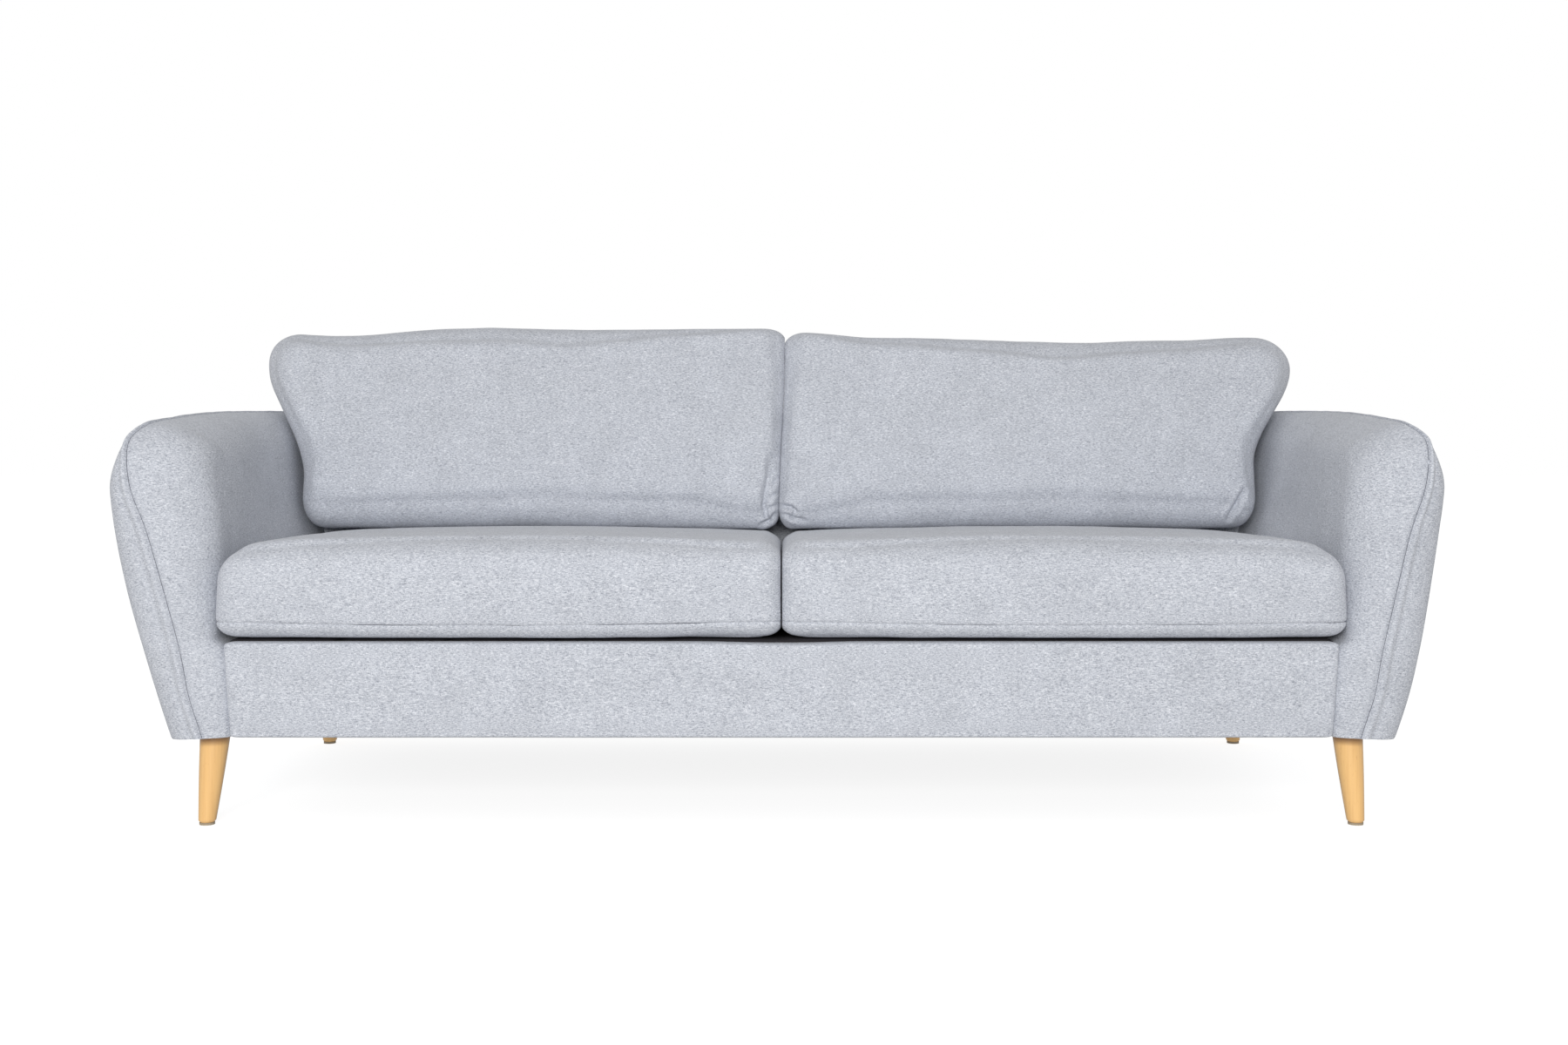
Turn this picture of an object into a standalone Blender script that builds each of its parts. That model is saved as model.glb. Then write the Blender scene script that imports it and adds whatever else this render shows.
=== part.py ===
"""Three-seat sofa on four turned wooden legs.

Timber base, arm and back frames, zigzag seat springs, back webbing, padded arms, a front
apron, and four loose cushions: each is a zipped cover with a foam or fibre filling.
Metres, +Z up, the front faces -Y, left is -X. The origin is on the floor under the middle.
"""

from math import cos, exp, pi, radians, sin, sqrt, tan

import bmesh
import bpy
from mathutils import Matrix, Vector

# Driving dimensions
DEPTH = 0.88
FRONT = -DEPTH / 2
REAR = DEPTH / 2
BOTTOM = 0.152  # underside of the upholstery
GAP = 0.0003  # clearance between pieces that touch
SIDES = {"left": -1, "right": 1}
ENDS = {"front": -1, "back": 1}

# Legs
LEG_TOP = BOTTOM - 2 * GAP
LEG_AT = Vector((0.938, 0.372))  # axis of the leg at its top, from the middle
LEG_SPLAY = Vector((0.012, 0.013))  # how far the foot stands out from that
LEG_RADIUS = 0.0245
FOOT_RADIUS = 0.0138
GLIDE_HEIGHT = 0.004
GLIDE_RADIUS = 0.0125
STUD_RADIUS = 0.004
STUD_LOW, STUD_HIGH = 0.122, 0.192
BLOCK_TOP = 0.200
BLOCK_NEAR = LEG_AT.y - 0.047  # face of the block nearest the middle of the arm

# Arms
ARM_WIDEST = 1.0825  # from the middle of the sofa
ARM_WIDEST_HEIGHT = 0.557
ARM_TOP = 0.702  # at the back; the top edge falls towards the front
ARM_FALL = 0.045
ARM_FALL_LENGTH = 0.30
ARM_CORNER = 0.090  # radius of the top front corner, seen from the side
ARM_INNER = 0.9065  # inner face beside the base
SEAT_RECESS = 0.014  # how far the inner face steps back beside the seat cushions
ARM_INNER_LEAN = 0.035  # how far the inner face leans out above the seat
LEAN_START, LEAN_RUN = 0.45, 0.25  # the height where it starts, and the run of height it takes
ARM_SEAM = 0.945  # plane between the inner padding and the outer pad, at the bottom
ARM_SEAM_LEAN = 0.21
ARM_RIDGE = 0.950  # line that the top and the front are rolled to, at the bottom
ARM_RIDGE_LEAN = 0.19
ARM_NOSE_ROLL = 0.045  # radius of the outer front edge
ARM_INNER_ROLL = 0.070  # radius from the inner face over to the top seam
ARM_OUTER_ROLL = 0.030
ARM_FRAME_IN = 0.9155  # inner face of the arm frame at the bottom
ARM_FRAME_THICK = 0.050
ARM_FRAME_LEAN = 0.15
ARM_FRAME_INSET = 0.035
ARM_FRAME_DROP = 0.045  # the frame ends this far under the top of the arm
REAR_LEAN = 0.036  # run of the rear face per metre of height

# Seat
SEAT_RAKE = radians(1.5)  # the deck falls towards the back
SEAT_FRONT_HEIGHT = 0.3130  # deck plane at the front of the cushions
SEAT_FRONT = FRONT + 0.020
SEAT_REAR = 0.235
SEAT_THICK = 0.131
SEAT_CROWN = 0.0405
SEAT_HALF = 0.9185
CUSHION_MIDDLE_GAP = 0.0012
APRON_HALF = 0.9045
APRON_TOP = 0.308
APRON_THICK = 0.0355
DECK_THICK = 0.016
RAIL_THICK = 0.0235
RAIL_BOTTOM = 0.160
CROSS_RAIL_AT = 0.31  # from the middle of the sofa
CROSS_RAIL_HEIGHT = 0.075
SPRINGS = 6
SPRING_PITCH = 0.305
SPRING_WIRE = 0.0019
SPRING_SWING = 0.024
SPRING_WAVES = 9

# Back
BACK_LEAN = radians(12)
PAD_FOOT = Vector((0.250, 0.300))  # y and z of the front face of the back padding
PAD_THICK = 0.035
PAD_HALF, PAD_FLARE = 0.905, 0.0475  # its half width at the foot, and how that grows
WEBBING_THICK, WEBBING_WIDE = 0.0025, 0.060
WEBBING_HEIGHTS = {"lower": 0.375, "middle": 0.465, "upper": 0.555}
POST_NEAR, POST_FAR = 0.815, 0.865  # a back post's two sides, from the middle
POST_THICK = 0.032
TOP_RAIL_LOW, TOP_RAIL_HIGH = 0.615, 0.672
OUTER_PANEL_THICK = 0.0125
BACK_CUSHION_BOTTOM = 0.4610
BACK_CUSHION_HEIGHT = 0.379
BACK_CUSHION_THICK = 0.190
BACK_CUSHION_FOOT_HALF = 0.8975
BACK_CUSHION_EAR = 0.106  # how much wider it is at the ears
COVER_THICK = 0.003
FILLING_GAP = 0.0015

# Zips
ZIP_TRAVEL = 0.50
ZIP_SLIT = 0.006
SLIDER = Vector((0.011, 0.0045, 0.008))
SLIDER_OUT = {"seat": 0.0088, "back": 0.0125}  # from the middle of the slit, clear of the cover


def clear_scene():
    for obj in list(bpy.data.objects):
        bpy.data.objects.remove(obj, do_unlink=True)


def new_collection(name):
    collection = bpy.data.collections.new(name)
    bpy.context.scene.collection.children.link(collection)
    return collection


def make_material(name, colour, roughness, metallic=0.0):
    material = bpy.data.materials.new(name)
    material.use_nodes = True
    shader = material.node_tree.nodes["Principled BSDF"]
    shader.inputs["Base Color"].default_value = (*colour, 1)
    shader.inputs["Roughness"].default_value = roughness
    shader.inputs["Metallic"].default_value = metallic
    return material


clear_scene()
SOFA = new_collection("Sofa")
CUTTERS = new_collection("Cutters")
FABRIC = make_material("Woven upholstery", (0.56, 0.60, 0.67), 0.90)
LINING = make_material("Black lining", (0.020, 0.018, 0.022), 0.95)
LEG_WOOD = make_material("Lacquered leg wood", (0.90, 0.57, 0.28), 0.38)
TIMBER = make_material("Frame timber", (0.66, 0.47, 0.28), 0.70)
STEEL = make_material("Zinc plated steel", (0.62, 0.63, 0.65), 0.35, 1.0)
FOAM = make_material("Foam", (0.90, 0.84, 0.62), 0.95)
WEBBING = make_material("Elastic webbing", (0.10, 0.10, 0.11), 0.85)
PLASTIC = make_material("Glide plastic", (0.62, 0.52, 0.38), 0.50)
ZIP_METAL = make_material("Grey zip metal", (0.25, 0.26, 0.29), 0.40, 0.8)


def mesh_object(name, bm, material, collection=SOFA):
    """Link the bmesh as an object and free it."""
    bmesh.ops.recalc_face_normals(bm, faces=bm.faces)
    mesh = bpy.data.meshes.new(name)
    bm.to_mesh(mesh)
    bm.free()
    if material:
        mesh.materials.append(material)
    obj = bpy.data.objects.new(name, mesh)
    collection.objects.link(obj)
    return obj


def box_bmesh(low, high):
    low, high = Vector(low), Vector(high)
    bm = bmesh.new()
    scale = Matrix.Diagonal((*(high - low), 1))
    bmesh.ops.create_cube(bm, size=1, matrix=Matrix.Translation((low + high) / 2) @ scale)
    return bm


def box(name, low, high, material, bevel=0.0, collection=SOFA):
    """A box between two corners, whose x may be given in either order."""
    low, high = map(Vector, zip(*map(sorted, zip(low, high))))
    obj = mesh_object(name, box_bmesh(low, high), material, collection)
    if bevel:
        modifier = obj.modifiers.new("Edges", "BEVEL")
        modifier.width = bevel
        modifier.segments = 2
    return obj


def cylinder_bmesh(radius, low, high, x, y, segments=16):
    bm = bmesh.new()
    centre = Matrix.Translation((x, y, (low + high) / 2))
    bmesh.ops.create_cone(
        bm,
        cap_ends=True,
        segments=segments,
        radius1=radius,
        radius2=radius,
        depth=high - low,
        matrix=centre,
    )
    return bm


def cylinder(name, radius, low, high, x, y, material, collection=SOFA, segments=16):
    bm = cylinder_bmesh(radius, low, high, x, y, segments)
    return mesh_object(name, bm, material, collection)


def loft(name, sections, material, collection=SOFA):
    """Join closed sections of equal point count into one solid with flat ends."""
    bm = bmesh.new()
    rings = [[bm.verts.new(point) for point in section] for section in sections]
    count = len(rings[0])
    for ring, following in zip(rings, rings[1:]):
        for i in range(count):
            j = (i + 1) % count
            bm.faces.new((ring[i], ring[j], following[j], following[i]))
    bm.faces.new(rings[0])
    bm.faces.new(rings[-1])
    return mesh_object(name, bm, material, collection)


def hide_cutter(obj):
    obj.hide_render = True
    obj.display_type = "WIRE"


def cut(obj, *cutters):
    for cutter in cutters:
        hide_cutter(cutter)
        modifier = obj.modifiers.new("Cut", "BOOLEAN")
        modifier.operation = "DIFFERENCE"
        modifier.solver = "EXACT"
        modifier.object = cutter


def smoothstep(low, high, value):
    t = min(max((value - low) / (high - low), 0), 1)
    return t * t * (3 - 2 * t)


def roll(distance, radius):
    """How far a rounded edge has turned in, at a distance from the face it starts on."""
    if distance >= radius:
        return 0.0
    t = (radius - max(distance, 0)) / radius
    return radius * (1 - sqrt(1 - t * t))


# ---------------------------------------------------------------- legs


def make_leg(end, side):
    """A tapered leg with a blind hole for its stud, the stud, the glide and the block above."""
    name = f"{end}_{side}"
    x, y = SIDES[side] * LEG_AT.x, ENDS[end] * LEG_AT.y
    foot_x, foot_y = x + SIDES[side] * LEG_SPLAY.x, y + ENDS[end] * LEG_SPLAY.y
    low = GLIDE_HEIGHT + GAP
    height = LEG_TOP - low
    bm = bmesh.new()
    bmesh.ops.create_cone(
        bm, cap_ends=True, segments=24, radius1=FOOT_RADIUS, radius2=LEG_RADIUS, depth=height
    )
    ends = [e for e in bm.edges if abs(e.verts[0].co.z - e.verts[1].co.z) < GAP]
    bmesh.ops.bevel(bm, geom=ends, offset=0.0015, segments=1, affect="EDGES")
    splay = Matrix.Shear("XY", 4, ((x - foot_x) / height, (y - foot_y) / height))
    middle = Matrix.Translation(((x + foot_x) / 2, (y + foot_y) / 2, (low + LEG_TOP) / 2))
    bmesh.ops.transform(bm, matrix=middle @ splay, verts=bm.verts)
    leg = mesh_object(f"leg_{name}", bm, LEG_WOOD)
    hole = STUD_RADIUS + GAP
    cut(
        leg,
        cylinder(
            f"leg_hole_{name}", hole, STUD_LOW - GAP, LEG_TOP + 0.01, x, y, None, CUTTERS, 12
        ),
    )
    cylinder(f"leg_stud_{name}", STUD_RADIUS, STUD_LOW, STUD_HIGH, x, y, STEEL, SOFA, 12)
    cylinder(f"leg_glide_{name}", GLIDE_RADIUS, 0, GLIDE_HEIGHT, foot_x, foot_y, PLASTIC)
    near, far = sorted((ENDS[end] * BLOCK_NEAR, ENDS[end] * (REAR - ARM_FRAME_INSET)))
    outline = [(near, BOTTOM), (far, BOTTOM), (far, BLOCK_TOP), (near, BLOCK_TOP)]
    block = leaning_slab(f"leg_block_{name}", outline, SIDES[side], 0, TIMBER)
    cut(
        block,
        cylinder(
            f"block_hole_{name}", hole, BOTTOM - 0.01, BLOCK_TOP + 0.01, x, y, None, CUTTERS, 12
        ),
    )


# ---------------------------------------------------------------- arms


def arm_top(depth):
    """Height of the top seam at a depth behind the front, with the rounded front corner."""
    return ARM_TOP - ARM_FALL * exp(-depth / ARM_FALL_LENGTH) - roll(depth, ARM_CORNER)


def arm_inner(z):
    """Inner face of an arm, upright beside the seat and leaning out above it."""
    beside_seat = SEAT_RECESS * smoothstep(APRON_TOP - 0.038, APRON_TOP - 0.002, z)
    return ARM_INNER + beside_seat + ARM_INNER_LEAN * max(0, (z - LEAN_START) / LEAN_RUN) ** 1.5


def arm_outer(z):
    """Outer face of an arm, widest a little below the top."""
    below = max(0, ARM_WIDEST_HEIGHT - z)
    above = max(0, z - ARM_WIDEST_HEIGHT)
    return ARM_WIDEST - 0.32 * below**1.5 - 0.60 * above**1.5


def arm_ridge(z):
    """The line that the rounded top and front of an arm turn to from both faces."""
    return ARM_RIDGE + ARM_RIDGE_LEAN * (z - BOTTOM)


def arm_section(depth):
    """The closed section of an arm across the sofa, as (x, z) from the middle outwards."""
    top = arm_top(depth)
    inner, outer = [], []
    for part in (0, 0.28, 0.40, 0.56, 0.74, 0.86, 0.94, 0.985):
        z = BOTTOM + (top - BOTTOM) * part
        nose = 0.015 + 0.060 * smoothstep(BOTTOM, 0.45, z)
        x = arm_inner(z) + roll(top - z, ARM_INNER_ROLL) + roll(depth, nose)
        inner.append((min(x, arm_ridge(z) - 0.006), z))
    for part in (0.985, 0.93, 0.83, 0.70, 0.52, 0.34, 0.15, 0):
        z = BOTTOM + (top - BOTTOM) * part
        x = arm_outer(z) - roll(top - z, ARM_OUTER_ROLL) - roll(depth, ARM_NOSE_ROLL)
        outer.append((max(x, arm_ridge(z) + 0.006), z))
    return [*inner, (arm_ridge(top), top), *outer]


def arm_envelope(name, side, material):
    """The whole arm as one lofted solid: both paddings are cut from it."""
    sections = []
    for depth in (0, 0.005, 0.018, 0.040, 0.065, 0.10, 0.20, 0.36, 0.55, 0.72, DEPTH):
        lean = REAR_LEAN if depth == DEPTH else 0
        sections.append(
            [
                (side * x, FRONT + depth - lean * (ARM_TOP - z), z)
                for x, z in arm_section(depth)
            ]
        )
    return loft(name, sections, material)


def arm_frame_outline(grow):
    """Side view of the arm frame, as (y, z), from the rear bottom round to the front."""
    front = FRONT + ARM_FRAME_INSET - grow
    rear = REAR - ARM_FRAME_INSET + grow
    corner = ARM_CORNER - ARM_FRAME_INSET + 0.02
    points = [(rear, BLOCK_TOP), (rear, arm_top(0.84) - ARM_FRAME_DROP + grow)]
    for depth in (0.60, 0.36, 0.20):
        points.append((FRONT + depth, arm_top(depth) - ARM_FRAME_DROP + grow))
    high = arm_top(0.12) - ARM_FRAME_DROP + grow
    for step in range(5):
        turn = pi / 8 * step
        points.append((front + corner * (1 - sin(turn)), high - corner * (1 - cos(turn))))
    return [*points, (front, BLOCK_TOP)]


def leaning_slab(name, outline, side, grow, material, collection=SOFA):
    """An outline across the sofa's side, as thick as the arm frame and leaning out with it."""
    faces = []
    for offset in (-grow, ARM_FRAME_THICK + grow):
        faces.append(
            [
                (side * (ARM_FRAME_IN + offset + ARM_FRAME_LEAN * (z - BOTTOM)), y, z)
                for y, z in outline
            ]
        )
    return loft(name, faces, material, collection)


def split_wedge(name, side, outwards):
    """Everything inside or outside the plane of an arm's seam, as a cutter."""
    far = 0.4 * outwards
    section = []
    for z in (BOTTOM - 0.05, ARM_TOP + 0.05):
        seam = ARM_SEAM + ARM_SEAM_LEAN * (z - BOTTOM) - GAP / 2 * outwards
        section.append(((seam, z), (seam + far, z)))
    ring = [section[0][0], section[0][1], section[1][1], section[1][0]]
    ends = [[(side * x, y, z) for x, z in ring] for y in (FRONT - 0.1, REAR + 0.1)]
    return loft(name, ends, None, CUTTERS)


def mirror_copy(name, source):
    """The finished shape of an object on the left, turned over to the right."""
    graph = bpy.context.evaluated_depsgraph_get()
    bm = bmesh.new()
    bm.from_object(source, graph)
    bmesh.ops.scale(bm, vec=(-1, 1, 1), verts=bm.verts)
    return mesh_object(name, bm, source.data.materials[0])


def make_arms():
    """The left arm's frame and its two paddings, then the right arm as their mirror image."""
    side = SIDES["left"]
    foot = BLOCK_TOP + GAP
    notch = BLOCK_NEAR - GAP
    rim = [(y, max(z, foot)) for y, z in arm_frame_outline(0)]
    foot_edge = [(-notch, foot), (-notch, BOTTOM + GAP), (notch, BOTTOM + GAP), (notch, foot)]
    pieces = [leaning_slab("arm_frame_left", [*rim, *foot_edge], side, 0, TIMBER)]
    around = arm_frame_outline(GAP)
    around = [(around[0][0], BOTTOM - 0.02), *around[1:-1], (around[-1][0], BOTTOM - 0.02)]
    pocket = leaning_slab("arm_pocket", around, side, GAP, None, CUTTERS)
    for part, outwards in (("padding", 1), ("outer_pad", -1)):
        pad = arm_envelope(f"arm_{part}_left", side, FABRIC)
        cut(pad, pocket, split_wedge(f"arm_split_{part}", side, outwards))
        pieces.append(pad)
    for piece in pieces:
        mirror_copy(piece.name.replace("left", "right"), piece)


# ---------------------------------------------------------------- base


def deck_height(y):
    """Height of the plane that the seat cushions slide on."""
    return SEAT_FRONT_HEIGHT - (y - SEAT_FRONT) * tan(SEAT_RAKE)


def raked_box(name, x_half, y_low, y_high, below, thick, material):
    """A sheet across the sofa, parallel to the deck plane and below it."""
    faces = []
    for x in (-x_half, x_half):
        faces.append(
            [
                (x, y_low, deck_height(y_low) - below - thick),
                (x, y_high, deck_height(y_high) - below - thick),
                (x, y_high, deck_height(y_high) - below),
                (x, y_low, deck_height(y_low) - below),
            ]
        )
    return loft(name, faces, material)


def make_base():
    front_in = FRONT + APRON_THICK + GAP
    rail_in = front_in + RAIL_THICK
    spring_seat = DECK_THICK + 2 * SPRING_WIRE + 0.003
    front_top = deck_height(rail_in) - spring_seat
    back_top = deck_height(-front_in) - spring_seat
    side_out = APRON_HALF - 0.001
    box(
        "base_front_rail",
        (-side_out, front_in, RAIL_BOTTOM),
        (side_out, rail_in, front_top - GAP),
        TIMBER,
    )
    box(
        "base_back_rail",
        (-side_out, -front_in, RAIL_BOTTOM),
        (side_out, -rail_in, back_top - GAP),
        TIMBER,
    )
    for name, side in SIDES.items():
        box(
            f"base_side_rail_{name}",
            (side * side_out, rail_in + GAP, RAIL_BOTTOM),
            (side * (side_out - RAIL_THICK), -rail_in - GAP, back_top - 0.004),
            TIMBER,
        )
        middle = side * CROSS_RAIL_AT
        box(
            f"base_cross_rail_{name}",
            (middle - RAIL_THICK / 2, rail_in + GAP, RAIL_BOTTOM),
            (middle + RAIL_THICK / 2, -rail_in - GAP, RAIL_BOTTOM + CROSS_RAIL_HEIGHT),
            TIMBER,
        )
    for number in range(SPRINGS):
        make_spring(number, front_in + 0.006, -front_in - 0.006, spring_seat)
    box(
        "front_apron",
        (-APRON_HALF, FRONT, BOTTOM),
        (APRON_HALF, FRONT + APRON_THICK, APRON_TOP),
        FABRIC,
        bevel=0.005,
    )
    raked_box("seat_deck", APRON_HALF, front_in, PAD_FOOT.x - 0.004, 0.0005, DECK_THICK, LINING)
    box(
        "dust_cover",
        (-side_out, front_in + 0.001, RAIL_BOTTOM - 0.0017),
        (side_out, -front_in - 0.001, RAIL_BOTTOM - 0.0005),
        LINING,
    )


def make_spring(number, y_low, y_high, below):
    """A zigzag spring across the base from the front rail to the back one."""
    middle = (number - (SPRINGS - 1) / 2) * SPRING_PITCH
    curve = bpy.data.curves.new(f"seat_spring_{number + 1}", "CURVE")
    curve.dimensions = "3D"
    curve.bevel_depth = SPRING_WIRE
    curve.bevel_resolution = 1
    curve.use_fill_caps = True
    steps = SPRING_WAVES * 4
    spline = curve.splines.new("POLY")
    spline.points.add(steps)
    for step, point in enumerate(spline.points):
        y = y_low + (y_high - y_low) * step / steps
        swing = SPRING_SWING * (0, 1, 0, -1)[step % 4]
        point.co = (middle + swing, y, deck_height(y) - below + SPRING_WIRE, 1)
    curve.materials.append(STEEL)
    SOFA.objects.link(bpy.data.objects.new(curve.name, curve))


# ---------------------------------------------------------------- back


def pad_y(z, behind=0.0):
    """The leaning front face of the back padding, or a plane behind it."""
    return PAD_FOOT.x + (z - PAD_FOOT.y) * tan(BACK_LEAN) + behind


def leaning_box(name, x_low, x_high, z_low, z_high, behind, thick, material):
    """A piece across the back, parallel to the padding and behind its front face."""
    faces = []
    for x in sorted((x_low, x_high)):
        faces.append(
            [
                (x, pad_y(z_low, behind), z_low),
                (x, pad_y(z_high, behind), z_high),
                (x, pad_y(z_high, behind + thick), z_high),
                (x, pad_y(z_low, behind + thick), z_low),
            ]
        )
    return loft(name, faces, material)


def make_back():
    behind_pad = PAD_THICK + GAP
    behind_webbing = behind_pad + WEBBING_THICK + GAP
    foot = deck_height(0.38) + 0.002
    for name, side in SIDES.items():
        leaning_box(
            f"back_post_{name}",
            side * POST_NEAR,
            side * POST_FAR,
            foot,
            TOP_RAIL_LOW - GAP,
            behind_webbing,
            POST_THICK,
            TIMBER,
        )
    leaning_box(
        "back_top_rail",
        -PAD_HALF,
        PAD_HALF,
        TOP_RAIL_LOW,
        TOP_RAIL_HIGH,
        behind_webbing,
        POST_THICK,
        TIMBER,
    )
    for name, z in WEBBING_HEIGHTS.items():
        leaning_box(
            f"back_webbing_{name}",
            -POST_FAR,
            POST_FAR,
            z,
            z + WEBBING_WIDE,
            behind_pad,
            WEBBING_THICK,
            WEBBING,
        )
    make_back_padding(behind_pad)
    make_outer_panel()


def make_back_padding(behind_pad):
    """Foam and cover down the front of the back, rolled over the top rail."""
    top, roll_radius = ARM_TOP - 0.004, 0.022
    foot = PAD_FOOT.y - 0.006
    front_roll = Vector((pad_y(top - roll_radius) + roll_radius, top - roll_radius))
    rear_roll = Vector((REAR - 0.014 - roll_radius, top - roll_radius))
    outline = [(pad_y(foot), foot)]
    for centre, start in ((front_roll, 2), (rear_roll, 1)):
        for step in range(4):
            turn = pi / 2 * (start - step / 3)
            outline.append(tuple(centre + roll_radius * Vector((cos(turn), sin(turn)))))
    over_rail = TOP_RAIL_HIGH + GAP
    outline.append((REAR - 0.014, over_rail))
    outline.append((pad_y(TOP_RAIL_HIGH, behind_pad), over_rail))
    outline.append((pad_y(foot, PAD_THICK), foot))
    ends = []
    for side in (-1, 1):
        ends.append([(side * (PAD_HALF + PAD_FLARE * (z - foot)), y, z) for y, z in outline])
    loft("back_padding", ends, FABRIC)


def make_outer_panel():
    """The upholstered board that closes the back of the sofa between the arms."""
    edge = [(x - 0.002, z) for x, z in arm_section(DEPTH)[:7]]
    rings = []
    for inset in (OUTER_PANEL_THICK, 0):
        ring = []
        for side, points in ((-1, edge), (1, edge[::-1])):
            for half, z in points:
                ring.append((side * half, REAR - REAR_LEAN * (ARM_TOP - z) - inset, z))
        rings.append(ring)
    loft("back_outer_panel", rings, FABRIC)


# ---------------------------------------------------------------- cushions


def cage(loops, place):
    """A cube from -1 to 1, cut at the given places on each axis, each point put in place."""
    bm = bmesh.new()
    bmesh.ops.create_cube(bm, size=2)
    for axis, positions in enumerate(loops):
        normal = Vector((0, 0, 0))
        normal[axis] = 1
        for position in positions:
            bmesh.ops.bisect_plane(
                bm,
                geom=bm.verts[:] + bm.edges[:] + bm.faces[:],
                plane_co=normal * position,
                plane_no=normal,
            )
    for vert in bm.verts:
        vert.co = place(*vert.co)
    return bm


def seat_point(u, v, w, inset):
    """A point of the seat cushion from -1..1 across, front to back and up."""
    half_x = (SEAT_HALF - CUSHION_MIDDLE_GAP) / 2 - inset
    half_y = (SEAT_REAR - SEAT_FRONT) / 2 - inset
    centre_y = (SEAT_REAR + SEAT_FRONT) / 2
    y = centre_y + v * half_y
    crown = SEAT_CROWN * (1 - u * u) * (1 - v * v) if w > 0 else 0
    low = deck_height(y) + inset
    high = deck_height(y) + SEAT_THICK + crown - inset
    return Vector((u * half_x, y, low + (high - low) * (w + 1) / 2))


def back_point(u, v, w, inset, side):
    """A point of a back cushion from -1..1 across, up and from its rear to its front."""
    height = BACK_CUSHION_HEIGHT - 2 * inset
    up = (v + 1) / 2
    wide = BACK_CUSHION_FOOT_HALF + BACK_CUSHION_EAR * smoothstep(0.12, 1, up) - inset
    inner = CUSHION_MIDDLE_GAP + inset
    x_mid, x_half = (wide + inner) / 2, (wide - inner) / 2
    belly = 1 - 0.18 * smoothstep(0.3, 1, up)
    edge = 1 - 0.22 * u * u
    front = inset + (BACK_CUSHION_THICK * belly * edge - 2 * inset) * (w + 1) / 2
    rise = up * height + inset - front * tan(BACK_LEAN) * (1 - up)
    foot = BACK_CUSHION_BOTTOM
    y = pad_y(foot) - GAP + rise * sin(BACK_LEAN) - front * cos(BACK_LEAN)
    z = foot + rise * cos(BACK_LEAN) + front * sin(BACK_LEAN)
    return Vector((side * x_mid + u * x_half, y, z))


def cushion_solid(name, place, material, collection=SOFA):
    bm = cage(((-0.86, 0, 0.86), (-0.80, 0.80), (0,)), place)
    obj = mesh_object(name, bm, material, collection)
    modifier = obj.modifiers.new("Soft", "SUBSURF")
    modifier.levels = 1
    modifier.render_levels = 1
    return obj


def zip_slider(name, parent, centre, tilt):
    """A slider body with its flat puller, lying on a cushion's zip."""
    bm = box_bmesh(-SLIDER / 2, SLIDER / 2)
    puller = box_bmesh((-0.0025, 0.0002, -0.026), (0.0025, 0.0020, -0.003))
    puller_mesh = bpy.data.meshes.new("puller")
    puller.to_mesh(puller_mesh)
    puller.free()
    pull = bpy.data.objects.new(f"{name}_pull", puller_mesh)
    CUTTERS.objects.link(pull)
    obj = mesh_object(name, bm, ZIP_METAL)
    obj.location = pull.location = centre
    obj.rotation_euler = pull.rotation_euler = (tilt, 0, 0)
    hide_cutter(pull)
    union = obj.modifiers.new("Puller", "BOOLEAN")
    union.operation = "UNION"
    union.solver = "EXACT"
    union.object = pull
    obj.parent = parent
    pull.parent = parent


def make_cushion(kind, side_name, place, slit_centre, tilt):
    """A cover with a zip slit, its filling and the zip slider, parented to the joint's empty."""
    root = bpy.data.objects.new(f"{kind}_cushion_{side_name}", None)
    SOFA.objects.link(root)
    cover_name = f"{kind}_cushion_cover_{side_name}"
    filling = "core" if kind == "seat" else "fill"
    cover = cushion_solid(cover_name, lambda u, v, w: place(u, v, w, 0), FABRIC)
    hollow = cushion_solid(
        f"hollow_{kind}_{side_name}", lambda u, v, w: place(u, v, w, COVER_THICK), None, CUTTERS
    )
    half = Vector((ZIP_TRAVEL / 2 + 0.03, ZIP_SLIT * 3, ZIP_SLIT / 2))
    slit = mesh_object(f"slit_{kind}_{side_name}", box_bmesh(-half, half), None, CUTTERS)
    slit.location = slit_centre
    slit.rotation_euler = (tilt, 0, 0)
    cut(cover, hollow, slit)
    inner = COVER_THICK + FILLING_GAP
    core = cushion_solid(
        f"{kind}_cushion_{filling}_{side_name}", lambda u, v, w: place(u, v, w, inner), FOAM
    )
    for obj in (cover, hollow, slit, core):
        obj.parent = root
    outwards = Vector((0, cos(tilt), sin(tilt)))
    zip_slider(
        f"{kind}_zip_slider_{side_name}",
        root,
        Vector(slit_centre) + outwards * SLIDER_OUT[kind] - Vector((ZIP_TRAVEL / 2, 0, 0)),
        tilt,
    )


def make_cushions():
    for name, side in SIDES.items():
        middle = side * (SEAT_HALF + CUSHION_MIDDLE_GAP) / 2

        def seat(u, v, w, inset, middle=middle):
            return seat_point(u, v, w, inset) + Vector((middle, 0, 0))

        slit_z = deck_height(SEAT_REAR) + 0.030
        make_cushion("seat", name, seat, (middle, SEAT_REAR - 0.010, slit_z), radians(-25))

        def back(u, v, w, inset, side=side):
            return back_point(u, v, w, inset, side)

        slit_z = BACK_CUSHION_BOTTOM + 0.018
        slit_y = pad_y(slit_z) - 0.018
        make_cushion("back", name, back, (side * 0.45, slit_y, slit_z), radians(-40))


for end_name in ENDS:
    for side_name in SIDES:
        make_leg(end_name, side_name)
make_arms()
make_base()
make_back()
make_cushions()
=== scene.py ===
"""Three-seat sofa with wooden legs: its upholstery, cushions, legs and fittings as fine pieces.

Run it as a script: the main function registers the add-on's classes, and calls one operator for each
group of pieces and one for the stage. Metres, +Z up, the front faces -Y,
left is -X.
"""

import math

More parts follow.
